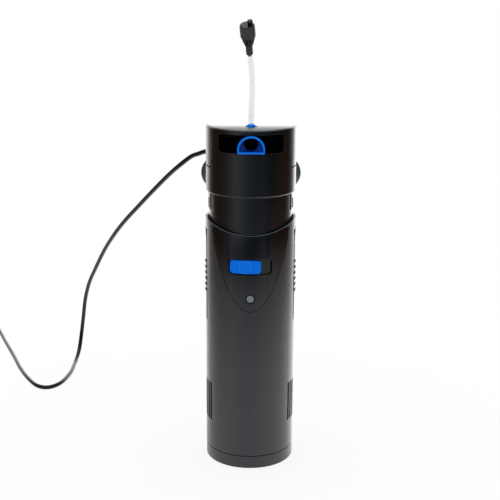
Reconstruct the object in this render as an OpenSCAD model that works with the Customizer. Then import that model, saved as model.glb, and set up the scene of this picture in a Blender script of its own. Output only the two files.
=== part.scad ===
// Submersible canister filter with a plug-in pump and lamp head.
// Origin: centre of the canister's underside. +Z up, -Y is the front with the switch panel.
// Millimetres.

/* [Canister] */
// Outside diameter of the canister
body_d = 90.4; // [88:0.2:94]
// Wall of the canister
body_wall = 2.2; // [2:0.1:2.4]
// Height of the lowest point of the saddle-shaped rim
rim_z = 245.7; // [244:0.1:247]
// Radius of the saddle cut that shapes the rim
rim_saddle_r = 95; // [90:1:110]
// How far the base cap's side stands in from the canister's
base_inset = 0.2; // [0.2:0.1:1.2]
// Height of the base cap
base_h = 14; // [11:0.5:15]
// Height of the groove between base cap and canister
base_groove = 0.9; // [0.4:0.1:1.2]
// Rounding of the base cap's lower edge
base_round = 1; // [1:0.5:4]
// Radial play between one moulded piece and the next
fit_gap = 0.1; // [0.05:0.05:0.2]

/* [Intake slots] */
// Slots on each side of the canister
slot_n = 10; // [6:2:10]
// Angle from one slot to the next
slot_step = 6.36; // [6:0.02:7]
// Width of a slot
slot_w = 3.3; // [2.6:0.1:3.4]
// Lowest point of the slots
slot_z = 43.8; // [40:0.2:48]
// Length of a slot
slot_len = 41.9; // [36:0.1:44]

/* [Filter cartridge] */
// Play of the sponge inside the canister
sponge_gap = 1.5; // [1:0.25:3]
// Bottom of the sponge
sponge_z = 21.5; // [21.5:0.5:24]
// Top of the sponge
sponge_top = 94; // [88:0.5:96]
// Outside diameter of the strainer tube in the sponge
strainer_d = 17.6; // [16:0.2:20]
// Wall of the strainer tube
strainer_wall = 1.4; // [1:0.1:2]
// Thickness of the divider grid above the sponge
grid_t = 2.6; // [2:0.1:3.5]

/* [Switch panel] */
// Half width of the glossy panel, seen from the front
panel_w = 37; // [34:0.2:39]
// Height of the panel from its tip to its centre line
panel_h = 82; // [78:0.2:84]
// Top centre line of the panel's rounded outline
panel_top = 250.6; // [248:0.1:252]
// How far the panel stands proud of the canister
panel_proud = 0.15; // [0.05:0.05:0.3]
// Depth of the pocket that the panel sits in
panel_sink = 1; // [0.8:0.05:1.1]
// Sweep of the slider's window to each side
window_a = 28; // [26:0.5:30]
// Bottom of the slider's window
window_z = 206.2; // [204:0.2:208]
// Height of the slider's window
window_h = 16.2; // [14:0.2:18]
// Angle that the slider covers
slider_a = 38.8; // [34:0.2:40]
// Gap above and below the slider
slider_gap = 1.6; // [0.8:0.1:1.8]
// How far the slider stands proud of the canister
slider_proud = 0.7; // [0.4:0.1:1]
// Height of the indicator lens
lens_z = 181.9; // [178:0.1:186]
// Diameter of the indicator lens
lens_d = 7.3; // [6:0.1:9]

/* [Latches] */
// Height of the latch rockers' pivot
latch_pivot_z = 214; // [212:0.5:215]
// Bottom of a latch tab
latch_z = 150.4; // [148:0.2:154]
// Top of a latch tab
latch_top = 243.9; // [243:0.1:244]
// Half width of a latch tab
latch_hw = 9.9; // [9:0.1:11]
// Slit round a latch tab
latch_slit = 0.6; // [0.4:0.1:0.8]
// Swing of a latch when its grip is pressed
latch_swing = 2; // [1:0.5:2]
// Grip ribs on a latch tab
rib_n = 6; // [4:1:7]
// Step from one rib to the next
rib_step = 6; // [5:0.2:7]
// How far a rib stands out
rib_out = 1.2; // [1:0.1:2.2]

/* [Head] */
// Outside diameter of the head
head_d = 89.6; // [88:0.2:91]
// Wall of the head shell and the top cap
head_wall = 2.4; // [2:0.1:2.8]
// Height of the head from its lower edge to its flat top
head_h = 65.6; // [64:0.2:68]
// How far the head is drawn out of the canister
head_lift = 25.5; // [24:0.5:27]
// Rounding of the top cap's edge
cap_round = 2.5; // [1:0.25:3]
// Height of the seam between shell and cap, from the head's lower edge
seam_h = 47; // [45:0.5:49]
// Lower edge of the cap's side skirts, from the head's lower edge
skirt_h = 26; // [24:0.5:30]
// Half width of the cap's side skirts
skirt_hw = 21.8; // [18:0.2:25]
// Play of the neck in the canister
neck_gap = 1; // [0.8:0.1:1.2]
// Length of the neck below the head
neck_len = 39.5; // [38.5:0.5:40]
// Wall of the neck
neck_wall = 1.8; // [1.5:0.1:2.2]
// Thickness of the deck that closes the neck
deck_t = 2.5; // [2:0.1:3]

/* [Outlet] */
// Distance of the nozzle's pivot in front of the head's axis
nozzle_fwd = 18; // [17:0.5:18.5]
// Half width of the outlet slot in the head
outlet_slot_hw = 31; // [30:0.5:33]
// Bottom of the outlet slot, from the head's lower edge
outlet_slot_z = 43.1; // [42:0.1:43.5]
// Height of the outlet slot
outlet_slot_h = 18; // [17.6:0.1:18.2]
// Half width of the nozzle's mouth
mouth_hw = 13.2; // [12:0.1:14.5]
// Height of the nozzle's mouth
mouth_h = 17; // [16.8:0.1:17.2]
// Wall of the nozzle's mouth
mouth_wall = 1.5; // [1.2:0.1:1.5]
// How far the mouth stands out of the head
mouth_out = 1.4; // [0.5:0.1:3]
// Radius of the nozzle's round bore
outlet_bore_r = 6.8; // [6:0.1:6.8]
// Outside diameter of the riser that feeds the nozzle
riser_d = 22; // [20:0.2:22]
// Play between the riser and the nozzle
riser_gap = 0.3; // [0.3:0.05:0.4]

/* [Air line] */
// Outside diameter of the air tube
air_d = 6; // [5:0.5:6]
// Bore of the air tube
air_bore = 4; // [3:0.5:4]
// Lean of the valve towards the front
valve_lean = 27; // [20:1:35]
// Diameter of the valve's knurled knob
knob_d = 14.5; // [13:0.5:16]

/* [Pump] */
// Distance of the pump's axis behind the head's axis
pump_back = 22; // [21:0.5:22]
// Diameter of the impeller
impeller_d = 26; // [22:0.5:27]
// Blades on the impeller
blade_n = 5; // [4:1:7]
// Diameter of the rotor magnet
magnet_d = 16; // [14:0.5:16]
// Length of the rotor magnet
magnet_len = 20; // [18:0.5:20]
// Diameter of the rotor's shaft
shaft_d = 3; // [2.5:0.5:3]
// Outside diameter of the stator
stator_d = 36; // [32:0.5:38]

/* [Lamp] */
// Distance of the lamp's axis in front of the head's axis
lamp_fwd = 14; // [12:0.5:15]
// Outside diameter of the quartz sleeve
sleeve_d = 34; // [32:0.5:34]
// Wall of the quartz sleeve
sleeve_wall = 1.4; // [1:0.1:1.6]
// Length of the quartz sleeve below its flange
sleeve_len = 125; // [120:1:125]
// Diameter of each leg of the twin-tube lamp
lamp_d = 12; // [11:0.5:12]
// Length of the lamp's legs
lamp_len = 110; // [100:1:112]

/* [Suction cups] */
// Distance of each cup from the middle
cup_x = 34.4; // [32:0.2:36]
// Height of the cups above the head's lower edge
cup_h = 4.3; // [3:0.1:8]
// Diameter of a cup
cup_d = 36; // [30:0.5:37]
// Distance from the head's axis to the cups' lips
cup_face = 64; // [62:0.5:66]
// Thickness of the bracket that carries the cups
bracket_t = 2.2; // [1.8:0.1:2.6]

/* [Power cord] */
// Diameter of the cord
cord_d = 5; // [4.5:0.1:5.4]
// Length of the tapered strain relief
gland_len = 20; // [20:1:21]
// Direction in which the cord leaves, seen from above
gland_a = 133; // [132:1:134]

/* [Hidden] */
$fn = 96;
eps = 0.01;

// Canister
body_r = body_d / 2;
bore_r = body_r - body_wall;
rim_high_z = rim_z + rim_saddle_r - sqrt(pow(rim_saddle_r, 2) - pow(body_r, 2));
base_r = body_r - base_inset;
shell_z = base_h;
spigot_h = 7;
sponge_r = bore_r - sponge_gap;
grid_z = sponge_top + 0.2;

// Switch panel: pocket floor, panel skin over the slider, slider flange
panel_r = body_r + panel_proud;
pocket_r = body_r - panel_sink;
track_r = bore_r + 0.6;
flange_r = track_r + 0.3;
skin_r = flange_r + 0.75;
slider_z = window_z + slider_gap;
slider_h = window_h - 2 * slider_gap;
slider_start = 270 - window_a + 2.1;
dot_n = 11;
dot_ring_r = 5.8;

// Latches
latch_in_r = body_r - 1.2;
latch_out_r = body_r + 0.2;
pivot_x = body_r - 2.4;
pivot_r = 0.8;
hook_reach = bore_r + 0.2;
rib_z = latch_z + 26;
// Prongs of the hook, from the latch's middle
prong_in = 8.2;
prong_out = 9.6;
hook_h = 2;

// Head
head_r = head_d / 2;
head_gap = 0.36;
head_z = rim_high_z + head_gap + head_lift;
head_top = head_z + head_h;
shell_r = head_r - head_wall;
neck_r = bore_r - neck_gap;
neck_bottom = head_z - neck_len;
neck_in_r = neck_r - neck_wall;
deck_z = head_z - deck_t;
seam_gap = 0.1;
seam_groove = 0.7;
seam_deep = 1;
inner_top = head_top - head_wall;
latch_window_z = head_z - 16;
latch_window_h = 9.7;
latch_window_in = prong_in - 0.3;
latch_window_out = 12.5;
boss_r = bore_r - 0.25;
boss_hw = latch_window_out + 2;
boss_z = latch_window_z - 1.7;

// Pump, from the deck up
volute_in_r = impeller_d / 2 + 2;
volute_wall = 2;
duct_w = 18;
volute_h = 14;
volute_top = head_z + volute_h;
eye_r = 7;
can_r = magnet_d / 2 + 1;
can_wall = 1;
rotor_z = volute_top + 2.2;
can_top = rotor_z + magnet_len + 2;
stator_z = volute_top + 0.2;
stator_h = 19;
stator_in_r = can_r + can_wall + fit_gap;

// Riser and nozzle
riser_r = riser_d / 2;
riser_in_r = riser_r - 2;
riser_top = head_z + 38;
barrel_in_r = riser_r + riser_gap;
barrel_r = barrel_in_r + 2;
barrel_z = riser_top - 6;
mouth_z = head_z + outlet_slot_z + 0.2;
barrel_top = mouth_z + mouth_h;
outlet_z = mouth_z + mouth_h / 2;
mouth_y = -head_r - mouth_out;
bore_y = mouth_y + 10;
collar_r = air_d / 2 + 0.9;
lid_hole_r = 6;
collar_top = head_top + 2.4;

// Lamp, hanging below the deck
cup_out_r = sleeve_d / 2 + 2;
cup_len = 28;
cup_z = deck_z - cup_len;
sleeve_r = sleeve_d / 2;
sleeve_flange_t = 2;
seal_t = 1.6;
sleeve_top = cup_z - seal_t;
nut_r = cup_out_r + 4;
lamp_gap = 1.2;
socket_t = 16;
lamp_base_t = 14;
lamp_base_z = deck_z - socket_t - lamp_base_t;

// Air line
air_route = [
    [0, -nozzle_fwd, collar_top + 0.1],
    [0, -nozzle_fwd, collar_top + 3],
    [0, -nozzle_fwd, head_top + 8],
    [0.1, -nozzle_fwd, head_top + 16],
    [0.6, -nozzle_fwd, head_top + 31],
    [0.7, -nozzle_fwd - 0.3, head_top + 43],
    [0.1, -nozzle_fwd - 1.3, head_top + 54],
    [-0.9, -nozzle_fwd - 3.5, head_top + 63],
    [-1.9, -nozzle_fwd - 6.5, head_top + 70.1]
];
valve_side = 4.7;
valve_pos = air_route[8];
valve_stem_d = 6.7;
valve_stem_len = 9.6;
valve_cone_len = 9.2;
valve_knob_len = 12.6;
stub_off = 3;
stub_len = 4;

// Coil of the stored length
cord_lie = cord_d / 2 + 0.55;
coil_pos = [-397, 425];
coil_turns = 2;
coil_pitch = cord_d + 0.6;
coil_mean_r = 27;
coil_out_r = coil_mean_r + coil_turns * coil_pitch / 2;
coil_in_r = coil_mean_r - coil_turns * coil_pitch / 2;
coil_rings = 24;
coil_climb = 180;
coil_sweep = coil_turns * 720 + coil_climb;
coil_lead = 8;
coil_start = [coil_pos[0] + coil_out_r, coil_pos[1] - coil_lead - 0.3, cord_lie];
plug_side = [coil_pos[0] - coil_out_r, coil_pos[1] - coil_lead, cord_lie + coil_pitch];
tie_a = -60;
tie_t = 0.4;

// Power cord: centre of the strain relief on the head, then points along the free cord
gland_z = 312;
gland_root_r = 4.6;
gland_tip_r = cord_d / 2 + 0.9;
gland_dir = [cos(gland_a), sin(gland_a), 0];
gland_tip = gland_dir * (head_r + gland_len) + [0, 0, gland_z];
cord_route = [
    gland_tip + gland_dir * 0.3,
    gland_tip + gland_dir * cord_d + [0, 0, -0.3],
    [-54.5, 57, 308.3], [-63, 65, 303.7], [-75.5, 75, 292.6],
    [-89, 91, 278.5], [-107.5, 113, 257], [-128, 139, 232], [-146, 163, 209.5], [-161, 185, 188],
    [-176, 210, 163], [-191, 236, 133], [-203, 257, 107], [-211, 273, 81], [-215.5, 282, 56],
    [-219, 284, 32], [-221.5, 273, 11], [-223, 246, cord_lie], [-223.5, 213, cord_lie],
    [-230, 179, cord_lie], [-242, 164, cord_lie], [-256, 168, cord_lie], [-271, 190, cord_lie],
    [-288, 225, cord_lie], [-307, 273, cord_lie], [-328, 324, cord_lie], [-345, 367, cord_lie],
    [-357, 395, cord_lie], coil_start + [0, -5, 0], coil_start
];
cord_sides = 8;
cord_step = 13;

// ---------- helpers ----------

module ring(outer, inner, z, h) {
    translate([0, 0, z])
        difference() {
            cylinder(r = outer, h = h);
            translate([0, 0, -1]) cylinder(r = inner, h = h + 2);
        }
}

// Angular slice of a ring, from angle a over the sweep w
module arc_ring(outer, inner, z, h, a, w) {
    translate([0, 0, z])
        rotate([0, 0, a])
            rotate_extrude(angle = w)
                translate([inner, 0]) square([outer - inner, h]);
}

// Cylinder with a rounded edge on its upper or lower end
module rounded_disc(r, h, bottom = 0, top = 0) {
    rotate_extrude()
        difference() {
            square([r, h]);
            if (bottom > 0) corner_cut(r, 0, bottom, -1, 1);
            if (top > 0) corner_cut(r, h, top, -1, -1);
        }
}

// What a fillet of radius f takes off a corner at (x, y)
module corner_cut(x, y, f, sx, sy) {
    difference() {
        translate([x + (sx < 0 ? -f : -eps), y + (sy < 0 ? -f : -eps)]) square(f + eps);
        translate([x + sx * f, y + sy * f]) circle(r = f);
    }
}

// The space below the saddle-shaped rim, seen from the front, run through from front to back
module below_saddle(drop = 0) {
    rotate([90, 0, 0])
        linear_extrude(height = 3 * body_r, center = true)
            difference() {
                translate([-body_r - 5, -5]) square([2 * body_r + 10, rim_high_z + 5 - drop]);
                translate([0, rim_z + rim_saddle_r - drop]) circle(r = rim_saddle_r, $fn = 180);
            }
}

// ---------- canister ----------

module base_cap() {
    color("#1d1e20")
        difference() {
            union() {
                rounded_disc(base_r, base_h - base_groove, bottom = base_round);
                cylinder(r = body_r - 1.6, h = base_h);
                cylinder(r = bore_r - fit_gap, h = base_h + spigot_h);
                translate([0, 0, base_h]) cylinder(r = strainer_d / 2 - strainer_wall - fit_gap, h = spigot_h);
            }
            translate([0, 0, 4])
                difference() {
                    cylinder(r = bore_r - 3, h = base_h + spigot_h);
                    cylinder(r = strainer_d / 2 - strainer_wall - fit_gap, h = base_h + spigot_h);
                }
            // relief under the cap, between the rim and the middle that both stand on the surface
            ring(bore_r - 8, 12, -1, 2.5);
        }
}

module canister_shell() {
    color("#2b2d30")
        difference() {
            union() {
                intersection() {
                    ring(body_r, bore_r, shell_z, rim_high_z);
                    below_saddle();
                }
                for (side = [1, -1]) latch_pocket(side);
            }
            for (side = [1, -1]) {
                latch_cut(side);
                intake_slots(side);
            }
            panel_pocket();
        }
}

module intake_slots(side) {
    for (i = [0 : slot_n - 1])
        rotate([0, 0, (side > 0 ? 0 : 180) + (i - (slot_n - 1) / 2) * slot_step])
            translate([body_r - 6, 0, 0])
                rotate([90, 0, 90])
                    linear_extrude(height = 12)
                        union() {
                            translate([-slot_w / 2, slot_z + slot_w / 2]) square([slot_w, slot_len - slot_w]);
                            translate([0, slot_z + slot_w / 2]) circle(d = slot_w, $fn = 24);
                            translate([0, slot_z + slot_len - slot_w / 2]) circle(d = slot_w, $fn = 24);
                        }
}

// Inward bulge of the wall that closes the space behind a latch tab
module latch_pocket(side) {
    wall = 1.2;
    hw = latch_hw + latch_slit + wall;
    mirror([side > 0 ? 0 : 1, 0, 0])
        intersection() {
            rotate([90, 0, 0])
                linear_extrude(height = 2 * hw, center = true)
                    polygon([
                        [body_r, latch_z - latch_slit - wall],
                        [pocket_back(latch_z) - wall, latch_z - latch_slit - wall],
                        [pocket_back(latch_z) - wall, latch_z],
                        [pocket_back(latch_pivot_z) - wall, latch_pivot_z + 1],
                        [bore_r, latch_pivot_z + 2],
                        [body_r, latch_pivot_z + 2]
                    ]);
            cylinder(r = bore_r + eps, h = rim_high_z);
        }
}

// Distance from the axis of the flat wall behind the latch at height z
function pocket_back(z) =
    latch_edge_x - 0.5 - (latch_pivot_z - z) * tan(latch_swing);
latch_edge_x = sqrt(pow(latch_in_r, 2) - pow(latch_hw, 2));

module latch_cut(side) {
    hw = latch_hw + latch_slit;
    mirror([side > 0 ? 0 : 1, 0, 0]) {
        rotate([90, 0, 0])
            linear_extrude(height = 2 * hw, center = true)
                polygon([
                    [body_r + 5, latch_z - latch_slit],
                    [pocket_back(latch_z), latch_z - latch_slit],
                    [pocket_back(latch_z), latch_z],
                    [pocket_back(latch_pivot_z), latch_pivot_z],
                    [latch_edge_x - 0.2, latch_pivot_z + 5],
                    [latch_edge_x - 0.2, latch_top + latch_slit],
                    [body_r + 5, latch_top + latch_slit]
                ]);
        // ways through the wall for the hook's prongs
        for (s = [-1, 1])
            translate([bore_r - 8, (s > 0 ? prong_in : -prong_out) - 0.4, latch_top - hook_h - 0.5])
                cube([10, prong_out - prong_in + 0.8, hook_h + 0.5 + latch_slit]);
        // sockets for the trunnions
        translate([pivot_x, 0, latch_pivot_z])
            rotate([90, 0, 0])
                cylinder(r = pivot_r + 0.05, h = 2 * (hw + 0.9), center = true, $fn = 32);
    }
}

// Outline of the panel seen from the front, grown by a margin
function panel_edge(t, grow) = [
    (panel_w + grow) * sgn(cos(t)) * pow(abs(cos(t)), 1.05),
    panel_top + (panel_h + grow) * sgn(sin(t)) * pow(abs(sin(t)), 1.35)
];
function sgn(v) = v < 0 ? -1 : 1;

// Shield-shaped block in front of the canister, on the flat drawing plane
module panel_block(grow, outer) {
    intersection() {
        rotate([90, 0, 0])
            linear_extrude(height = outer)
                polygon([
                    for (t = [180 : 5 : 360])
                        panel_edge(t, grow)
                ]);
        cylinder(r = outer, h = rim_high_z);
    }
}

module slider_window(inner, outer) {
    r = 3.6;
    hx = body_r * sin(window_a);
    intersection() {
        ring(outer, inner, window_z - 5, window_h + 10);
        rotate([90, 0, 0])
            linear_extrude(height = body_r + 5)
                translate([0, window_z + window_h / 2])
                    rounded_rect(2 * hx, window_h, r);
    }
}

module rounded_rect(w, h, r) {
    union() {
        square([w - 2 * r, h], center = true);
        square([w, h - 2 * r], center = true);
        for (sx = [-1, 1], sy = [-1, 1])
            translate([sx * (w / 2 - r), sy * (h / 2 - r)]) circle(r = r, $fn = 32);
    }
}

module panel_pocket() {
    difference() {
        panel_block(0.6, body_r + 2);
        cylinder(r = pocket_r, h = rim_high_z);
    }
    // running space of the slider's flange
    arc_ring(body_r, track_r, window_z - 1.6, window_h + 3.2, 270 - window_a - 3, 2 * window_a + 6);
    // lens and its lamp
    translate([0, -bore_r + 3, lens_z])
        rotate([90, 0, 0]) cylinder(d = lens_d - 2, h = 12, $fn = 48);
}

module switch_panel() {
    color("#0b0b0c")
        difference() {
            intersection() {
                panel_block(0, panel_r);
                below_saddle(1);
            }
            cylinder(r = pocket_r + 0.02, h = rim_high_z);
            // thinner skin over the slider's flange
            arc_ring(skin_r, track_r, window_z - 1.8, window_h + 3.6, 270 - window_a - 3.2, 2 * window_a + 6.4);
            slider_window(track_r - 1, body_r + 4);
            translate([0, -pocket_r + 3, lens_z])
                rotate([90, 0, 0]) cylinder(d = lens_d + 2 * fit_gap, h = 12, $fn = 48);
            // dark ring round the lens
            translate([0, 0, lens_z])
                rotate([90, 0, 0])
                    difference() {
                        cylinder(d = lens_d + 2.4, h = body_r + 5, $fn = 48);
                        cylinder(r = 60, h = panel_r - 0.35);
                    }
        }
}

module indicator_lens() {
    color("#8c9196")
        intersection() {
            translate([0, 0, lens_z])
                rotate([90, 0, 0]) cylinder(d = lens_d, h = body_r + 5, $fn = 48);
            ring(panel_r, pocket_r + 0.03, lens_z - lens_d, 2 * lens_d);
        }
}

module switch_slider() {
    color("#0064dc")
        difference() {
            union() {
                // body in the window
                intersection() {
                    ring(body_r + slider_proud, flange_r + 0.2, slider_z - 1, slider_h + 2);
                    slider_plate();
                }
                // flange behind the panel
                arc_ring(skin_r - 0.3, flange_r, window_z - 1.1, window_h + 2.2, slider_start + 6, slider_a - 12);
                dots();
            }
            magnet_block(0.05, 1);
        }
}

// Rounded plate across the slider's sweep, cut straight from the front
module slider_plate() {
    w = 2 * (body_r + slider_proud) * sin(slider_a / 2);
    rotate([0, 0, slider_start + slider_a / 2 + 90])
        translate([0, 0, slider_z + slider_h / 2])
            rotate([90, 0, 0])
                linear_extrude(height = body_r + 3) rounded_rect(w, slider_h, 3.4);
}

module dots() {
    rotate([0, 0, slider_start + slider_a / 2 + 90])
        translate([0, 0, slider_z + slider_h / 2])
            for (i = [0 : dot_n - 1]) {
                x = dot_ring_r * cos(i * 360 / dot_n);
                translate([x, -flange_r - 0.8, dot_ring_r * sin(i * 360 / dot_n)])
                    rotate([90, 0, 0])
                        cylinder(d = 1.3, h = dot_reach(x) - flange_r - 0.8, $fn = 16);
            }
}
function dot_reach(x) = sqrt(pow(body_r + slider_proud, 2) - x * x) + 0.35;

// The magnet, or with grow and open the pocket that takes it from behind
module magnet_block(grow = 0, open = 0) {
    rotate([0, 0, slider_start + slider_a / 2 + 90])
        translate([-4 - grow, -body_r - grow, slider_z + slider_h / 2 - 4 - grow])
            cube([8 + 2 * grow, body_r - flange_r - 0.15 + open, 8 + 2 * grow]);
}

module slider_magnet() {
    color("#55585c") magnet_block();
}

module sponge_cartridge() {
    color("#3a3d40")
        difference() {
            translate([0, 0, sponge_z]) cylinder(r = sponge_r, h = sponge_top - sponge_z);
            translate([0, 0, sponge_z - 1]) cylinder(d = strainer_d + 0.2, h = sponge_top);
        }
}

module strainer_tube() {
    color("#3c3f42")
        difference() {
            translate([0, 0, base_h]) cylinder(d = strainer_d, h = grid_z + grid_t + 3 - base_h);
            translate([0, 0, base_h - 1]) cylinder(d = strainer_d - 2 * strainer_wall, h = 120);
            for (a = [0 : 60 : 300], z = [sponge_z + 6 : 16 : sponge_top - 14])
                rotate([0, 0, a]) translate([2, -1.5, z]) cube([12, 3, 11]);
        }
}

module divider_grid() {
    color("#2b2d30")
        difference() {
            translate([0, 0, grid_z]) cylinder(r = bore_r - fit_gap, h = grid_t);
            translate([0, 0, grid_z - 1]) cylinder(d = strainer_d + 2 * fit_gap, h = grid_t + 2);
            for (k = [0 : 2], i = [0 : 9 + 5 * k])
                rotate([0, 0, i * 360 / (10 + 5 * k)])
                    translate([17 + 9 * k, 0, grid_z - 1]) cylinder(d = 6, h = grid_t + 2, $fn = 24);
        }
}

// ---------- latches ----------

module latch(side) {
    hw = latch_hw;
    color("#2b2d30")
        mirror([side > 0 ? 0 : 1, 0, 0])
            union() {
                difference() {
                    intersection() {
                        union() {
                            ring(latch_out_r, latch_in_r, latch_z, latch_top - latch_z);
                            flare();
                        }
                        translate([0, -hw, latch_z]) cube([body_r + 5, 2 * hw, latch_top - latch_z]);
                    }
                }
                grip_ribs();
                // prongs of the hook that snaps into the neck's windows
                intersection() {
                    ring(latch_in_r + 0.3, hook_reach, latch_top - hook_h, hook_h);
                    for (s = [-1, 1])
                        translate([body_r / 2, s > 0 ? prong_in : -prong_out, latch_top - hook_h])
                            cube([body_r, prong_out - prong_in, hook_h]);
                }
                trunnions();
            }
}

// The tab widens towards its upper end, where the hook rides on the neck
module flare() {
    translate([0, 0, latch_top - 9])
        difference() {
            cylinder(r1 = latch_out_r, r2 = latch_out_r + 0.5, h = 9);
            translate([0, 0, -1]) cylinder(r = latch_in_r, h = 11);
        }
}

module grip_ribs() {
    slant = -13;
    intersection() {
        translate([0, -latch_hw + 0.8, rib_z - 2]) cube([body_r + 5, 2 * latch_hw - 1.6, rib_n * rib_step + 2]);
        union() {
            for (i = [0 : rib_n - 1])
                translate([0, 0, rib_z + i * rib_step])
                    rotate([slant, 0, 0])
                        rotate([0, 0, -20])
                            rotate_extrude(angle = 40)
                                polygon([
                                    [latch_in_r + 0.5, 0],
                                    [latch_out_r - 0.1, 0],
                                    [latch_out_r + rib_out, rib_step * 0.4],
                                    [latch_out_r + rib_out, rib_step * 0.64],
                                    [latch_out_r - 0.1, rib_step * 0.44],
                                    [latch_in_r + 0.5, rib_step * 0.44]
                                ]);
        }
    }
}

module trunnions() {
    intersection() {
        translate([pivot_x, 0, latch_pivot_z])
            rotate([90, 0, 0])
                cylinder(r = pivot_r, h = 2 * (latch_hw + latch_slit + 0.7), center = true, $fn = 32);
        for (s = [-1, 1])
            translate([pivot_x - 3, s > 0 ? latch_hw - 1.5 : -latch_hw - 3.5, latch_pivot_z - 3]) cube([6, 5, 6]);
    }
}

module latch_left() { latch(-1); }
module latch_right() { latch(1); }

// ---------- head ----------

module neck() {
    color("#26282b")
        difference() {
            union() {
                translate([0, 0, neck_bottom]) cylinder(r = neck_r, h = neck_len);
                translate([0, 0, head_z - 1]) cylinder(r = neck_r + 1, h = 1);
                // raised bands with the latch windows
                intersection() {
                    translate([0, 0, boss_z]) cylinder(r = boss_r, h = head_z - boss_z);
                    translate([-body_r, -boss_hw, boss_z]) cube([2 * body_r, 2 * boss_hw, head_z - boss_z]);
                }
                translate([0, 0, head_z - eps]) cylinder(r = shell_r - fit_gap, h = 3);
            }
            translate([0, 0, neck_bottom - 1]) cylinder(r = neck_in_r, h = neck_len - deck_t + 1);
            ring_cut(shell_r - 2, head_z, 5);
            for (side = [0, 180], s = [-1, 1])
                rotate([0, 0, side])
                    translate([neck_r / 2, s > 0 ? latch_window_in : -latch_window_out, latch_window_z])
                        cube([neck_r, latch_window_out - latch_window_in, latch_window_h]);
            // suction eye and lamp opening in the deck
            translate([0, pump_back, deck_z - 1]) cylinder(r = eye_r, h = deck_t + 2, $fn = 64);
            translate([0, -lamp_fwd, deck_z - 1]) cylinder(r = 5, h = deck_t + 2, $fn = 64);
            // groove of the seal
            translate([0, 0, neck_bottom + 2])
                difference() {
                    cylinder(r = neck_r + 1, h = 1.6);
                    cylinder(r = neck_r - 0.8, h = 1.6);
                }
        }
    // dry cup that takes the lamp's socket
    color("#26282b")
        translate([0, -lamp_fwd, 0]) ring(cup_out_r, sleeve_r - 0.6, cup_z, cup_len);
}

module ring_cut(r, z, h) {
    translate([0, 0, z]) cylinder(r = r, h = h);
}

module neck_seal() {
    color("#151515")
        translate([0, 0, neck_bottom + 2.8])
            rotate_extrude() translate([neck_r - 0.1, 0]) circle(r = 0.62, $fn = 16);
}

// Region of the top cap, as a profile run across the head
module cap_region(grow = 0) {
    rotate([90, 0, 90])
        linear_extrude(height = 3 * head_r, center = true)
            polygon([
                [-head_r - 5, head_z + seam_h - grow],
                [-skirt_hw - 3.3 - grow, head_z + seam_h - grow],
                [-skirt_hw - grow, head_z + skirt_h - grow],
                [skirt_hw + grow, head_z + skirt_h - grow],
                [skirt_hw + 3.3 + grow, head_z + seam_h - grow],
                [head_r + 5, head_z + seam_h - grow],
                [head_r + 5, head_top + 5],
                [-head_r - 5, head_top + 5]
            ]);
}

module head_hull() {
    difference() {
        translate([0, 0, head_z]) rounded_disc(head_r, head_h, bottom = 1.2, top = cap_round);
        translate([0, 0, head_z - 1]) cylinder(r = shell_r, h = inner_top - head_z + 1);
    }
}

module outlet_slot() {
    z0 = head_z + outlet_slot_z;
    low = 2.6;
    high = 1.2;
    w = outlet_slot_hw;
    h = outlet_slot_h;
    translate([0, 0, z0])
        rotate([90, 0, 0])
            linear_extrude(height = head_r + 5)
                union() {
                    translate([-w, low]) square([2 * w, h - low - high]);
                    translate([-w + low, 0]) square([2 * w - 2 * low, low + eps]);
                    translate([-w + high, h - high - eps]) square([2 * w - 2 * high, high + eps]);
                    for (s = [-1, 1]) {
                        translate([s * (w - low), low]) circle(r = low, $fn = 32);
                        translate([s * (w - high), h - high]) circle(r = high, $fn = 32);
                    }
                }
}

module head_shell() {
    color("#1f2225")
        difference() {
            head_hull();
            cap_region(seam_gap);
            // groove that shows the seam
            difference() {
                cap_region(seam_groove);
                translate([0, 0, head_z - 1]) cylinder(r = head_r - seam_deep, h = head_h + 2);
            }
            outlet_slot();
            translate([0, 0, gland_z])
                rotate([0, 90, gland_a]) cylinder(r = 3.2, h = head_r + 5, $fn = 48);
        }
}

module top_cap() {
    color("#34373a")
        difference() {
            intersection() {
                head_hull();
                cap_region(0);
            }
            outlet_slot();
            translate([0, -nozzle_fwd, inner_top - 1]) cylinder(r = lid_hole_r, h = head_wall + 3, $fn = 64);
        }
}

// ---------- pump ----------

module at_pump() {
    translate([0, pump_back, 0]) children();
}

module volute_housing() {
    span = pump_back + nozzle_fwd;
    color("#34373a")
        difference() {
            union() {
                at_pump()
                    translate([0, 0, head_z + 0.05]) cylinder(r = volute_in_r + volute_wall, h = volute_h - 0.05);
                translate([0, -nozzle_fwd, head_z + 0.05]) cylinder(r = riser_r, h = riser_top - head_z);
                translate([-duct_w / 2, -nozzle_fwd, head_z + 0.05]) cube([duct_w, span, volute_h - 0.05]);
                // shoulder that carries the nozzle
                translate([0, -nozzle_fwd, barrel_z - 3.3]) cylinder(r = barrel_r, h = 3);
            }
            at_pump() translate([0, 0, head_z - 1]) cylinder(r = volute_in_r, h = volute_h - 1);
            at_pump() translate([0, 0, head_z]) cylinder(r = can_r + can_wall + fit_gap, h = volute_h + 2);
            translate([-6, -nozzle_fwd, head_z + 2]) cube([12, span, volute_h - 4]);
            translate([0, -nozzle_fwd, head_z + 2]) cylinder(r = riser_in_r, h = riser_top);
            // groove of the nozzle's seal
            translate([0, -nozzle_fwd, riser_top - 3])
                difference() {
                    cylinder(r = riser_r + 1, h = 1.6);
                    cylinder(r = riser_r - 1.2, h = 1.6);
                }
        }
}

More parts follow.
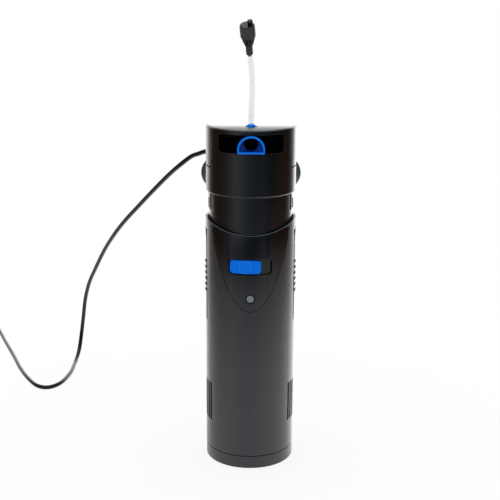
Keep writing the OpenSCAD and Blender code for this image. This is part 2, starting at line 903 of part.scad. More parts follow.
module rotor_can() {
    color("#bfc3c6")
        at_pump()
            difference() {
                union() {
                    translate([0, 0, volute_top - 1.9]) cylinder(r = can_r + can_wall, h = can_top - volute_top + 3);
                    translate([0, 0, volute_top - 1.9]) cylinder(r = can_r + can_wall + fit_gap - 0.02, h = 1.8);
                }
                translate([0, 0, volute_top - 3]) cylinder(r = can_r, h = can_top - volute_top + 3);
                translate([0, 0, can_top - 1]) cylinder(d = shaft_d + 0.1, h = 1.6, $fn = 32);
            }
}

module impeller() {
    t = 1.4;
    color("#3566a8")
        at_pump()
            translate([0, 0, head_z + 2.2])
                difference() {
                    union() {
                        translate([0, 0, 6]) cylinder(d = impeller_d, h = t);
                        cylinder(r = 3.4, h = 6 + t + 1.2);
                        for (i = [0 : blade_n - 1]) rotate([0, 0, i * 360 / blade_n]) blade();
                    }
                    translate([0, 0, -1]) cylinder(d = shaft_d + 0.1, h = 12, $fn = 32);
                }
}

// One backward-curved blade
module blade() {
    r = impeller_d / 2;
    intersection() {
        cylinder(r = r - 0.4, h = 6.3);
        translate([0, r * 0.62, 0])
            difference() {
                cylinder(r = r * 0.62 + 0.6, h = 6.3);
                translate([0, 0, -1]) cylinder(r = r * 0.62 - 0.6, h = 9);
                translate([-40.2, -40, -1]) cube([40, 80, 9]);
            }
    }
}

module rotor_magnet() {
    color("#3b3b3d")
        at_pump()
            difference() {
                translate([0, 0, rotor_z]) cylinder(d = magnet_d, h = magnet_len);
                translate([0, 0, rotor_z - 1]) cylinder(d = shaft_d + 0.1, h = magnet_len + 2, $fn = 32);
            }
}

module rotor_shaft() {
    color("#e8e6df")
        at_pump() translate([0, 0, head_z + 1.5]) cylinder(d = shaft_d, h = can_top + 0.3 - head_z - 1.5, $fn = 32);
}

module stator_core() {
    color("#6f7478")
        at_pump()
            difference() {
                union() {
                    ring(stator_d / 2, stator_d / 2 - 3.5, stator_z, stator_h);
                    for (a = [0 : 90 : 270])
                        rotate([0, 0, a])
                            translate([stator_in_r - 1, -2.5, stator_z + 3])
                                cube([stator_d / 2 - stator_in_r - 1, 5, stator_h - 6]);
                }
                translate([0, 0, stator_z - 1]) cylinder(r = stator_in_r, h = stator_h + 2);
            }
}

module stator_coils() {
    color("#b3672a")
        at_pump()
            for (a = [0 : 90 : 270])
                rotate([0, 0, a])
                    translate([stator_in_r + 0.4, 0, 0])
                        difference() {
                            translate([0, -3.6, stator_z + 1.8])
                                cube([stator_d / 2 - 4.7 - stator_in_r, 7.2, stator_h - 3.6]);
                            translate([-1, -2.6, stator_z + 2.9]) cube([20, 5.2, stator_h - 5.8]);
                        }
}

module motor_potting() {
    color("#15161a")
        at_pump()
            difference() {
                translate([0, 0, stator_z + stator_h])
                    cylinder(r = stator_d / 2 - 1, h = can_top + 3 - stator_z - stator_h);
                translate([0, 0, stator_z + stator_h - 1])
                    cylinder(r = can_r + can_wall + fit_gap, h = can_top - stator_z - stator_h + 2.2);
            }
}

module ballast_board() {
    z = can_top + 3.1;
    color("#2f6b3c")
        at_pump()
            translate([0, 0, z])
                union() {
                    cylinder(r = 15, h = 1.6);
                    translate([-9, -4, 1.5]) cube([8, 10, 8]);
                    translate([5, 3, 1.5]) cylinder(r = 4, h = 9, $fn = 32);
                    translate([5, -7, 1.5]) cylinder(r = 2.5, h = 6, $fn = 32);
                }
}

// ---------- lamp ----------

module at_lamp() {
    translate([0, -lamp_fwd, 0]) children();
}

module lamp_socket() {
    color("#d9d9d4")
        at_lamp()
            difference() {
                translate([0, 0, deck_z - socket_t]) cylinder(r = sleeve_r - 1.4, h = socket_t);
                for (s = [-1, 1])
                    translate([s * 3.5, 0, deck_z - socket_t - 1]) cylinder(r = 1.3, h = 9, $fn = 24);
            }
}

module uv_lamp() {
    color("#e9edf2")
        at_lamp() {
            union() {
                translate([0, 0, lamp_base_z])
                    cylinder(r = sleeve_r - sleeve_wall - lamp_gap - 1, h = lamp_base_t - 0.05);
                for (s = [-1, 1]) {
                    translate([s * (lamp_d / 2 + 0.4), 0, lamp_base_z - lamp_len])
                        cylinder(d = lamp_d, h = lamp_len + 1, $fn = 48);
                    translate([s * 3.5, 0, lamp_base_z + lamp_base_t - 1]) cylinder(r = 1.2, h = 7, $fn = 24);
                }
                translate([-3, 0, lamp_base_z - lamp_len + 6])
                    rotate([0, 90, 0]) cylinder(r = 3, h = 6, $fn = 32);
            }
        }
}

module quartz_sleeve() {
    low = sleeve_top - sleeve_len + sleeve_r;
    color([0.8, 0.9, 1, 0.35])
        at_lamp()
            rotate_extrude()
                union() {
                    translate([sleeve_r - sleeve_wall, low]) square([sleeve_wall, sleeve_top - low]);
                    translate([sleeve_r - sleeve_wall, sleeve_top - sleeve_flange_t])
                        square([sleeve_wall + 2, sleeve_flange_t]);
                    translate([0, low])
                        intersection() {
                            difference() {
                                circle(r = sleeve_r);
                                circle(r = sleeve_r - sleeve_wall);
                            }
                            translate([0, -sleeve_r]) square([sleeve_r, sleeve_r + eps]);
                        }
                }
}

module sleeve_seal() {
    color("#151515") at_lamp() ring(cup_out_r, sleeve_r - 0.4, sleeve_top, seal_t);
}

module sleeve_nut() {
    color("#26282b")
        at_lamp()
            difference() {
                translate([0, 0, sleeve_top - sleeve_flange_t - 3])
                    cylinder(r = nut_r, h = 16);
                translate([0, 0, sleeve_top - sleeve_flange_t]) cylinder(r = cup_out_r + 0.1, h = 20);
                translate([0, 0, sleeve_top - sleeve_flange_t - 4]) cylinder(r = sleeve_r + 0.3, h = 20);
                for (a = [0 : 30 : 330])
                    rotate([0, 0, a]) translate([nut_r + 0.6, 0, sleeve_top - 9]) cylinder(r = 1.6, h = 24, $fn = 16);
            }
}

module reed_switch() {
    color("#d8dde0")
        translate([-5, -neck_in_r + 1.7, neck_bottom + 3.5])
            union() {
                rotate([0, 90, 0]) cylinder(r = 1.2, h = 10, $fn = 24);
                translate([4, -0.8, 0]) cube([2, 1.2, deck_z - neck_bottom - 3.5]);
            }
}

// ---------- outlet nozzle and air line ----------

// Prism with the section of the mouth, from the pivot to the lip
module mouth_prism(inset, y_from, y_to) {
    hw = mouth_hw - inset;
    h = mouth_h - 2 * inset;
    rise = h - hw;
    corner = max(2.4 - inset, 0.6);
    translate([0, y_from, mouth_z + inset])
        rotate([90, 0, 0])
            linear_extrude(height = y_from - y_to)
                union() {
                    translate([-hw, corner]) square([2 * hw, max(rise, 1) - corner]);
                    translate([corner - hw, 0]) square([2 * (hw - corner), max(rise, 1)]);
                    for (side = [1, -1]) translate([side * (hw - corner), corner]) circle(r = corner, $fn = 32);
                    intersection() {
                        translate([0, max(rise, 1) - eps]) circle(r = hw, $fn = 96);
                        translate([-hw, 0]) square([2 * hw, h]);
                    }
                }
}

module outlet_nozzle() {
    color("#0080ff")
        difference() {
            union() {
                translate([0, -nozzle_fwd, barrel_z]) cylinder(r = barrel_r, h = barrel_top - barrel_z);
                mouth_prism(0, -nozzle_fwd, mouth_y);
                translate([0, -nozzle_fwd, barrel_top - 1])
                    cylinder(r = lid_hole_r - 0.5, h = inner_top + 0.6 - barrel_top + 1, $fn = 64);
                translate([0, -nozzle_fwd, inner_top])
                    rounded_disc(collar_r, collar_top - inner_top, top = 1.4, $fn = 48);
            }
            // socket on the riser
            translate([0, -nozzle_fwd, barrel_z - 1]) cylinder(r = barrel_in_r, h = riser_top + 0.4 - barrel_z + 1);
            translate([0, -nozzle_fwd, riser_top - 1]) cylinder(r = riser_in_r, h = barrel_top - 1.6 - riser_top + 1);
            // round bore, then the wide mouth
            translate([0, -nozzle_fwd, outlet_z])
                rotate([90, 0, 0]) cylinder(r = outlet_bore_r, h = 60, $fn = 64);
            mouth_prism(mouth_wall, bore_y, mouth_y - 1);
            // air passage
            translate([0, -nozzle_fwd, riser_top]) cylinder(d = air_bore, h = 60, $fn = 32);
        }
}

module nozzle_seal() {
    color("#151515")
        translate([0, -nozzle_fwd, riser_top - 2.2])
            rotate_extrude() translate([riser_r - 0.45, 0]) circle(r = 0.7, $fn = 16);
}

module air_tube() {
    color([0.9, 0.92, 0.93, 0.6])
        difference() {
            swept_tube(air_route, air_d / 2, 12, 5);
            swept_tube(lengthened(air_route), air_bore / 2, 12, 5);
        }
}

function lengthened(p) = concat(
    [p[0] + unit(p[0] - p[1]) * 1],
    [for (i = [1 : len(p) - 2]) p[i]],
    [p[len(p) - 1] + unit(p[len(p) - 1] - p[len(p) - 2]) * 1]
);

module at_valve() {
    translate(valve_pos) rotate([valve_lean, 0, 0]) rotate([0, -valve_side, 0]) children();
}

module valve_body() {
    color("#3c3c3c")
        at_valve()
            difference() {
                union() {
                    translate([0, 0, 0.3]) cylinder(d = valve_stem_d, h = valve_stem_len, $fn = 48);
                    translate([0, 0, -2]) cylinder(d = air_bore - 0.5, h = 3, $fn = 32);
                    translate([0, 0, valve_stem_len])
                        cylinder(r1 = valve_stem_d / 2 + 0.2, r2 = knob_d / 2 - 1.4, h = valve_cone_len);
                    for (a = [0 : 30 : 330]) rotate([0, 0, a]) valve_vane();
                }
                translate([0, 0, valve_stem_len + valve_cone_len - 4])
                    cylinder(d = 5, h = 5, $fn = 32);
                translate([0, 0, -4]) cylinder(d = 2.2, h = valve_stem_len + 12, $fn = 24);
            }
}

module valve_vane() {
    translate([0, 0.5, 0])
        rotate([90, 0, 0])
            linear_extrude(height = 1)
                polygon([
                    [2.5, valve_stem_len - 0.5],
                    [valve_stem_d / 2 + 0.8, valve_stem_len + 0.5],
                    [knob_d / 2 - 0.5, valve_stem_len + valve_cone_len],
                    [2.5, valve_stem_len + valve_cone_len]
                ]);
}

module valve_knob() {
    z = valve_stem_len + valve_cone_len + 0.3;
    color("#111214")
        at_valve()
            difference() {
                union() {
                    translate([0, 0, z]) rounded_disc(knob_d / 2, valve_knob_len, bottom = 0.5, top = 1.6, $fn = 96);
                    translate([stub_off, 0.5, z + valve_knob_len - 1.6])
                        rounded_disc(2.6, stub_len + 1.6, top = 0.6, $fn = 48);
                    translate([0, 0, z - 3.5]) cylinder(d = 4.9, h = 4, $fn = 32);
                }
                for (a = [0 : 15 : 345])
                    rotate([0, 0, a])
                        translate([knob_d / 2 + 0.35, 0, z + 1]) cylinder(r = 0.7, h = valve_knob_len - 3, $fn = 13);
            }
}

// ---------- suction cups ----------

bracket_y = head_r + 1.2;
bracket_arm = 32;
bracket_h = 22;
plate_z = head_z + cup_h;

module suction_bracket() {
    hw = cup_x + 6;
    color("#1f2225")
        difference() {
            union() {
                translate([0, bracket_y + bracket_t, plate_z])
                    rotate([90, 0, 0])
                        linear_extrude(height = bracket_t) rounded_rect(2 * hw, bracket_h, 6);
                translate([-bracket_arm / 2, head_r / 2, plate_z - 6])
                    cube([bracket_arm, bracket_y + 0.5 - head_r / 2, bracket_h - 4]);
            }
            translate([0, 0, head_z - bracket_h]) cylinder(r = head_r + 0.05, h = head_h);
            translate([0, 0, head_z - bracket_h]) cylinder(r = head_r + 1, h = bracket_h);
            for (s = [-1, 1])
                translate([s * cup_x, bracket_y - 1, plate_z])
                    rotate([-90, 0, 0]) cylinder(r = 3.1, h = bracket_t + 2, $fn = 48);
        }
}

module suction_cup(side) {
    start = bracket_y - 1.5;
    depth = cup_face - start;
    neck_end = bracket_t + 1.5;
    color([0.35, 0.4, 0.4, 0.8])
        translate([side * cup_x, start, plate_z])
            rotate([-90, 0, 0])
                rotate_extrude($fn = 96)
                    union() {
                        polygon([
                            [0, 0],
                            [4, 0],
                            [4, 1.4],
                            [3, 1.5],
                            [3, neck_end],
                            [4.8, neck_end + 0.05],
                            [5.2, neck_end + 3],
                            [7.5, depth - 8],
                            [11, depth - 5],
                            [cup_d / 2, depth - 0.8],
                            [cup_d / 2, depth],
                            [cup_d / 2 - 1, depth],
                            [8, depth - 3.2],
                            [0, depth - 4.5]
                        ]);
                    }
}

module suction_cup_left() { suction_cup(-1); }
module suction_cup_right() { suction_cup(1); }

// ---------- power cord ----------

module cord_gland() {
    color("#121212")
        translate([0, 0, gland_z])
            rotate([0, 90, gland_a])
                difference() {
                    union() {
                        translate([0, 0, head_r - head_wall - 2]) cylinder(r = 3.1, h = head_wall + 3, $fn = 48);
                        translate([0, 0, head_r - head_wall - 3]) cylinder(r = gland_root_r, h = 2, $fn = 48);
                        translate([0, 0, head_r + 0.1])
                            cylinder(r1 = gland_root_r, r2 = gland_tip_r, h = gland_len - 0.1, $fn = 48);
                    }
                    for (i = [0 : 3])
                        translate([0, 0, head_r + 4 + i * 4])
                            difference() {
                                cylinder(r = 8, h = 1.6);
                                translate([0, 0, -1]) cylinder(r = cord_d / 2 + 0.9, h = 4, $fn = 32);
                            }
                }
}

function unit(v) = v / norm(v);

// Point at t (0..1) between p1 and p2 on a smooth curve through p0, p1, p2, p3
function spline(p0, p1, p2, p3, t) =
    0.5 * (2 * p1 + (p2 - p0) * t + (2 * p0 - 5 * p1 + 4 * p2 - p3) * t * t
        + (3 * p1 - 3 * p2 + p3 - p0) * t * t * t);

// Points along a route, about one every step
function along(route, step) = [
    for (i = [0 : len(route) - 2])
        let (
            p0 = i == 0 ? 2 * route[0] - route[1] : route[i - 1],
            p3 = i + 2 < len(route) ? route[i + 2] : 2 * route[i + 1] - route[i],
            n = max(1, ceil(norm(route[i + 1] - route[i]) / step))
        )
        for (k = [0 : n - (i == len(route) - 2 ? 0 : 1)])
            spline(p0, route[i], route[i + 1], p3, k / n)
];

function tangent(p, i) =
    unit(i == 0 ? p[1] - p[0] : i == len(p) - 1 ? p[i] - p[i - 1] : unit(p[i + 1] - p[i]) + unit(p[i] - p[i - 1]));

// Frames that turn as little as possible from one point to the next
function carried(n, t) = unit(n - t * (n * t));
function normals(p, i, n) =
    i == len(p) ? [] :
    let (m = carried(n, tangent(p, i))) concat([m], normals(p, i + 1, m));

module swept_tube(route, r, sides, step) {
    p = along(route, step);
    tube_of(p, r, sides);
}

// One closed tube through the points p
module tube_of(p, r, sides) {
    t0 = tangent(p, 0);
    n = normals(p, 0, carried(abs(t0[2]) > 0.8 ? [1, 0, 0] : [0, 0, 1], t0));
    rings = len(p);
    points = [
        for (i = [0 : rings - 1])
            let (b = cross(tangent(p, i), n[i]))
            for (k = [0 : sides - 1])
                let (a = (k + 0.5) * 360 / sides)
                p[i] + r * (cos(a) * n[i] + sin(a) * b)
    ];
    faces = concat(
        [[for (k = [0 : sides - 1]) k]],
        [for (i = [0 : rings - 2], k = [0 : sides - 1], h = [0, 1])
            let (q = (k + 1) % sides, a = i * sides, b = a + sides)
            h == 0 ? [a + k, b + k, b + q] : [a + k, b + q, a + q]],
        [[for (k = [sides - 1 : -1 : 0]) (rings - 1) * sides + k]]
    );
    polyhedron(points = points, faces = faces, convexity = 10);
}

// Nothing on the surface dips below the cord's own lying height
function laid(p) = [for (q = p) [q[0], q[1], max(q[2], cord_lie)]];

module power_cord() {
    color("#141414") tube_of(laid(along(cord_route, cord_step)), cord_d / 2, cord_sides);
}

// Angle a along the coil: in over the lower layer, up in half a turn, out over the upper layer
function coil_point(a) =
    let (
        in_end = coil_turns * 360,
        out_start = in_end + coil_climb,
        r = a < in_end ? coil_out_r - coil_pitch * a / 360
            : a < out_start ? coil_in_r - coil_pitch * min(a - in_end, out_start - a) / 360
            : coil_in_r + coil_pitch * (a - out_start) / 360,
        up = a < in_end ? 0 : a < out_start ? (a - in_end) / coil_climb : 1
    )
    [coil_pos[0] + r * cos(a), coil_pos[1] + r * sin(a), cord_lie + coil_pitch * up];

coil_path = concat(
    [coil_start + [0, 0.3, 0], coil_start + [0, 0.3 + cord_d, 0]],
    [for (a = [0 : 360 / coil_rings : coil_sweep]) coil_point(a)],
    [plug_side + [0, cord_d, 0], plug_side]
);

// Least distance between the surfaces of turns that aren't neighbours along the coil
coil_least = min([
    for (i = [0 : len(coil_path) - 1])
        for (j = [i + 8 : 1 : len(coil_path) - 1])
            norm(coil_path[i] - coil_path[j])
]) - cord_d;

function path_length(p, i = 0) = i >= len(p) - 1 ? 0 : norm(p[i + 1] - p[i]) + path_length(p, i + 1);

module cord_coil() {
    color("#141414") tube_of(coil_path, cord_d / 2, 6);
    echo(coil_least_gap = coil_least, coil_length = path_length(coil_path));
    echo(free_length = path_length(laid(along(cord_route, cord_step))));
}

module cord_tie() {
    w = coil_out_r - coil_in_r + cord_d + 1.6;
    h = coil_pitch + cord_d + 1;
    color("#1a1a1a")
        translate([coil_pos[0], coil_pos[1], 0])
            rotate([0, 0, tie_a])
                translate([coil_mean_r, 0, h / 2 + 0.05])
                    rotate([90, 0, 0])
                        linear_extrude(height = 5, center = true)
                            difference() {
                                rounded_rect(w + 2 * tie_t, h, 2.6);
                                rounded_rect(w, h - 2 * tie_t, 2.2);
                            }
}

// ---------- plug ----------

plug_len = 34;
plug_w = 26;
relief_len = 20;

module plug_body() {
    z = plug_side[2];
    color("#141414")
        translate([plug_side[0], plug_side[1] - 0.05, z])
            rotate([90, 0, 0])
                union() {
                    cylinder(r1 = cord_d / 2 + 0.7, r2 = cord_d / 2 + 2.4, h = relief_len, $fn = 48);
                    intersection() {
                        translate([0, 0, relief_len - 0.1])
                            linear_extrude(height = plug_len) rounded_rect(plug_w, 2 * z, 5);
                        translate([0, 0, relief_len + 28])
                            scale([1, 1, 1]) sphere(r = 34, $fn = 96);
                    }
                }
}

module plug_blades() {
    color("#c9ccd0")
        translate([plug_side[0], plug_side[1] - 0.05 - relief_len - plug_len + 0.1, plug_side[2]])
            for (s = [-1, 1])
                translate([s * 6.35 - 0.75, -17, -3.2]) cube([1.5, 17, 6.4]);
}

base_cap();
canister_shell();
sponge_cartridge();
strainer_tube();
divider_grid();
switch_panel();
indicator_lens();
switch_slider();
slider_magnet();
latch_left();
latch_right();
neck();
neck_seal();
head_shell();
top_cap();
volute_housing();
rotor_can();
stator_core();
stator_coils();
motor_potting();
impeller();
rotor_magnet();
rotor_shaft();
lamp_socket();
uv_lamp();
quartz_sleeve();
sleeve_seal();
sleeve_nut();
ballast_board();
reed_switch();
outlet_nozzle();
nozzle_seal();
air_tube();
valve_body();
valve_knob();
suction_bracket();
suction_cup_left();
suction_cup_right();
cord_gland();
power_cord();
cord_coil();
cord_tie();
plug_body();
plug_blades();
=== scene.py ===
"""Looks of the submersible canister filter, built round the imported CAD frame. Metres, +Z up, -Y front."""

import math

import bpy
import numpy as np
from mathutils import Matrix, Vector


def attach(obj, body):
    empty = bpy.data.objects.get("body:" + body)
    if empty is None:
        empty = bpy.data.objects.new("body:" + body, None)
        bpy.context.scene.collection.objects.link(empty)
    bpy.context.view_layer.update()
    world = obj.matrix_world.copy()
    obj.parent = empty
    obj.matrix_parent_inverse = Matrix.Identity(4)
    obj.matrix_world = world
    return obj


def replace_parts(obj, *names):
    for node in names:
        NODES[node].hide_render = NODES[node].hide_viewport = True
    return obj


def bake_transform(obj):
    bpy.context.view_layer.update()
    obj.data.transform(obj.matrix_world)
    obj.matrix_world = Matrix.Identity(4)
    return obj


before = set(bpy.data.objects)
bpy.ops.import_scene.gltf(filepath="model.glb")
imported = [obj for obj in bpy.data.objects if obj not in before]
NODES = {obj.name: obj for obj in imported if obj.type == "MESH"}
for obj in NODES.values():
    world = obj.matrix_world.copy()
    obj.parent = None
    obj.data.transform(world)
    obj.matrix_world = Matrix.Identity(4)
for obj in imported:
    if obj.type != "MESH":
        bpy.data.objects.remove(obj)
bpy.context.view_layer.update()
MM = 0.001

# ---------------------------------------------------------------- sizes shared with the solids

BODY_R = 45.2
RIM_Z = 245.7
RIM_SADDLE_R = 95.0
HEAD_R = 44.8
HEAD_Z = 283.0
HEAD_TOP = 348.6
NOZZLE_FWD = 18.0
MOUTH_HW = 13.2
MOUTH_H = 17.0
MOUTH_Z = 326.3
MOUTH_Y = -46.2
COLLAR_TOP = HEAD_TOP + 2.4
CORD_D = 5.0
AIR_D = 6.0
AIR_BORE = 4.0

# ---------------------------------------------------------------- camera

CAM_PLACE = (-0.0005, -1.09435, 0.51424)
CAM_PITCH = math.radians(15.054)
CAM_ROLL = math.radians(0.335)
FOCAL_PX = 1118.05
FRAME_PX = 500
SENSOR_MM = 36.0

camera = bpy.data.objects.new("camera", bpy.data.cameras.new("camera"))
bpy.context.scene.collection.objects.link(camera)
camera.data.sensor_width = SENSOR_MM
camera.data.lens = SENSOR_MM * FOCAL_PX / FRAME_PX
camera.data.clip_start = 0.01
camera.data.clip_end = 50.0
camera.matrix_world = (
    Matrix.Translation(CAM_PLACE)
    @ Matrix.Rotation(math.pi / 2 - CAM_PITCH, 4, "X")
    @ Matrix.Rotation(CAM_ROLL, 4, "Z")
)
bpy.context.scene.camera = camera

# ---------------------------------------------------------------- mesh helpers


def link(name, mesh):
    obj = bpy.data.objects.new(name, mesh)
    bpy.context.scene.collection.objects.link(obj)
    return obj


def mesh_from(name, verts, faces, smooth=True):
    """A piece from points in millimetres."""
    mesh = bpy.data.meshes.new(name)
    mesh.from_pydata([tuple(c * MM for c in v) for v in verts], [], faces)
    mesh.validate()
    mesh.update()
    if smooth:
        mesh.shade_smooth()
    return link(name, mesh)


def spline_points(route, step):
    """Points on the same smooth curve as the solid's, about one every step."""
    pts = [Vector(p) for p in route]
    out = []
    for i in range(len(pts) - 1):
        p0 = 2 * pts[0] - pts[1] if i == 0 else pts[i - 1]
        p1, p2 = pts[i], pts[i + 1]
        p3 = pts[i + 2] if i + 2 < len(pts) else 2 * p2 - p1
        n = max(1, math.ceil((p2 - p1).length / step))
        for k in range(n + (1 if i == len(pts) - 2 else 0)):
            t = k / n
            out.append(
                0.5
                * (
                    2 * p1
                    + (p2 - p0) * t
                    + (2 * p0 - 5 * p1 + 4 * p2 - p3) * t * t
                    + (3 * p1 - 3 * p2 + p3 - p0) * t * t * t
                )
            )
    return out


def frames_along(pts, closed=False):
    """Tangent and two normals at each point, turning as little as possible."""
    n = len(pts)
    tangents = []
    for i in range(n):
        if closed:
            t = pts[(i + 1) % n] - pts[i - 1]
        else:
            t = pts[min(i + 1, n - 1)] - pts[max(i - 1, 0)]
        tangents.append(t.normalized())
    up = Vector((0, 0, 1)) if abs(tangents[0].z) < 0.8 else Vector((1, 0, 0))
    normal = (up - tangents[0] * up.dot(tangents[0])).normalized()
    out = []
    for t in tangents:
        normal = (normal - t * normal.dot(t)).normalized()
        out.append((t, normal, t.cross(normal)))
    return out


def grid_faces(start, rows, sides, closed=False, flip=False):
    """Quads between rings of points that follow one another from the index start."""
    faces = []
    for i in range(rows if closed else rows - 1):
        low = start + i * sides
        high = start + (i + 1) % rows * sides
        for k in range(sides):
            q = (k + 1) % sides
            quad = (low + k, low + q, high + q, high + k)
            faces.append(quad[::-1] if flip else quad)
    return faces


def edge_faces(outer, inner, sides, flip):
    """Quads between two rings of points, given by the index of the first point of each."""
    faces = []
    for k in range(sides):
        q = (k + 1) % sides
        quad = (outer + k, outer + q, inner + q, inner + k)
        faces.append(quad[::-1] if flip else quad)
    return faces


def end_caps(last, sides):
    """The two ends of a solid rod of rings, last being the index of the last ring's first point."""
    return [tuple(range(sides))[::-1], tuple(last + k for k in range(sides))]


def tube(name, pts, radius, sides=16, closed=False, bore=0.0):
    """A round tube through the points, open through its middle if it has a bore."""
    frames = frames_along(pts, closed)
    verts = []

    def rings(r):
        start = len(verts)
        for p, (_, n, b) in zip(pts, frames):
            for k in range(sides):
                a = 2 * math.pi * k / sides
                verts.append(p + r * (math.cos(a) * n + math.sin(a) * b))
        return start

    outer = rings(radius)
    faces = grid_faces(outer, len(pts), sides, closed)
    last = (len(pts) - 1) * sides
    if bore:
        inner = rings(bore)
        faces += grid_faces(inner, len(pts), sides, closed, flip=True)
        faces += edge_faces(outer, inner, sides, flip=True)
        faces += edge_faces(outer + last, inner + last, sides, flip=False)
    elif not closed:
        faces += end_caps(last, sides)
    return mesh_from(name, verts, faces)


def lathe(name, profile, place, steps=96):
    """A turned piece: profile is (radius, height) in order, turned about Z, then placed."""
    verts, faces, rows = [], [], []
    for r, h in profile:
        if r < 1e-6:
            rows.append([len(verts)])
            verts.append(Vector((0, 0, h)))
        else:
            rows.append(list(range(len(verts), len(verts) + steps)))
            for k in range(steps):
                a = 2 * math.pi * k / steps
                verts.append(Vector((r * math.cos(a), r * math.sin(a), h)))
    for low, high in zip(rows, rows[1:]):
        for k in range(steps):
            q = (k + 1) % steps
            if len(low) == 1:
                faces.append((low[0], high[q], high[k]))
            elif len(high) == 1:
                faces.append((low[k], low[q], high[0]))
            else:
                faces.append((low[k], low[q], high[q], high[k]))
    return mesh_from(name, [place @ v for v in verts], faces)


def on(obj, body, material):
    """Fasten a new piece to its body and give it its finish."""
    obj.data.materials.clear()
    obj.data.materials.append(material)
    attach(obj, body)
    return obj


# ---------------------------------------------------------------- materials


def new_material(name):
    mat = bpy.data.materials.new(name)
    mat.use_nodes = True
    tree = mat.node_tree
    tree.nodes.clear()
    out = tree.nodes.new("ShaderNodeOutputMaterial")
    shader = tree.nodes.new("ShaderNodeBsdfPrincipled")
    tree.links.new(shader.outputs["BSDF"], out.inputs["Surface"])
    return mat, tree, shader


def object_coords(tree):
    return tree.nodes.new("ShaderNodeTexCoord").outputs["Object"]


def split_axes(tree, vector):
    node = tree.nodes.new("ShaderNodeSeparateXYZ")
    tree.links.new(vector, node.inputs["Vector"])
    return node.outputs["X"], node.outputs["Y"], node.outputs["Z"]


def parts_of(mat):
    """A plastic's node tree and shader, and what its base colour comes from."""
    shader = next(n for n in mat.node_tree.nodes if n.type == "BSDF_PRINCIPLED")
    return mat.node_tree, shader, shader.inputs["Base Color"].links[0].from_socket


def blend_colours(tree, fac, low, high):
    node = tree.nodes.new("ShaderNodeMix")
    node.data_type = "RGBA"
    tree.links.new(fac, node.inputs["Factor"])
    for value, socket in ((low, node.inputs["A"]), (high, node.inputs["B"])):
        if isinstance(value, tuple):
            socket.default_value = value
        else:
            tree.links.new(value, socket)
    return node.outputs["Result"]


def blend_values(tree, fac, low, high):
    """From the socket low to the number high."""
    node = tree.nodes.new("ShaderNodeMix")
    node.data_type = "FLOAT"
    tree.links.new(fac, node.inputs[0])
    tree.links.new(low, node.inputs[2])
    node.inputs[3].default_value = high
    return node.outputs[0]


def calc(tree, operation, a, b=None):
    """One step of arithmetic; each term is a socket or a number."""
    node = tree.nodes.new("ShaderNodeMath")
    node.operation = operation
    for value, socket in ((a, node.inputs[0]), (b, node.inputs[1])):
        if isinstance(value, float):
            socket.default_value = value
        elif value is not None:
            tree.links.new(value, socket)
    return node.outputs[0]


def vector_calc(tree, operation, a, b=None, result="Vector"):
    node = tree.nodes.new("ShaderNodeVectorMath")
    node.operation = operation
    for value, socket in ((a, node.inputs[0]), (b, node.inputs[1])):
        if isinstance(value, Vector):
            socket.default_value = value
        elif value is not None:
            tree.links.new(value, socket)
    return node.outputs[result]


def between(tree, value, low, high, to_low=0.0, to_high=1.0):
    """Straight slope between two lengths in millimetres, level outside them."""
    node = tree.nodes.new("ShaderNodeMapRange")
    node.inputs["From Min"].default_value = low * MM
    node.inputs["From Max"].default_value = high * MM
    node.inputs["To Min"].default_value = to_low
    node.inputs["To Max"].default_value = to_high
    tree.links.new(value, node.inputs["Value"])
    return node.outputs["Result"]


def ease(tree, value, start, end, to_start=0.0, to_end=1.0):
    """Soft slope between two values, level outside them."""
    node = tree.nodes.new("ShaderNodeMapRange")
    node.interpolation_type = "SMOOTHSTEP"
    node.inputs["From Min"].default_value = start
    node.inputs["From Max"].default_value = end
    node.inputs["To Min"].default_value = to_start
    node.inputs["To Max"].default_value = to_end
    tree.links.new(value, node.inputs["Value"])
    return node.outputs["Result"]


def noise(tree, coords, scale, detail=3.0, stretch=None):
    node = tree.nodes.new("ShaderNodeTexNoise")
    node.inputs["Scale"].default_value = scale
    node.inputs["Detail"].default_value = detail
    source = coords
    if stretch:
        mapping = tree.nodes.new("ShaderNodeMapping")
        mapping.inputs["Scale"].default_value = stretch
        tree.links.new(coords, mapping.inputs["Vector"])
        source = mapping.outputs["Vector"]
    tree.links.new(source, node.inputs["Vector"])
    return node.outputs["Fac"]


def ramp(tree, fac, low, high, spread=(0.35, 0.65)):
    node = tree.nodes.new("ShaderNodeValToRGB")
    node.color_ramp.elements[0].position = spread[0]
    node.color_ramp.elements[1].position = spread[1]
    node.color_ramp.elements[0].color = (*low, 1)
    node.color_ramp.elements[1].color = (*high, 1)
    tree.links.new(fac, node.inputs["Fac"])
    return node.outputs["Color"]


def spread_to(tree, fac, low, high):
    node = tree.nodes.new("ShaderNodeMapRange")
    node.inputs["To Min"].default_value = low
    node.inputs["To Max"].default_value = high
    tree.links.new(fac, node.inputs["Value"])
    return node.outputs["Result"]


# Fineness of a plastic's flow marks, of its uneven gloss and of its grain, and the grain's depth in metres
FLOW_SCALE = 35.0
GLOSS_SCALE = 120.0
GRAIN_SCALE = 1800.0
GRAIN_DEPTH = 0.0001


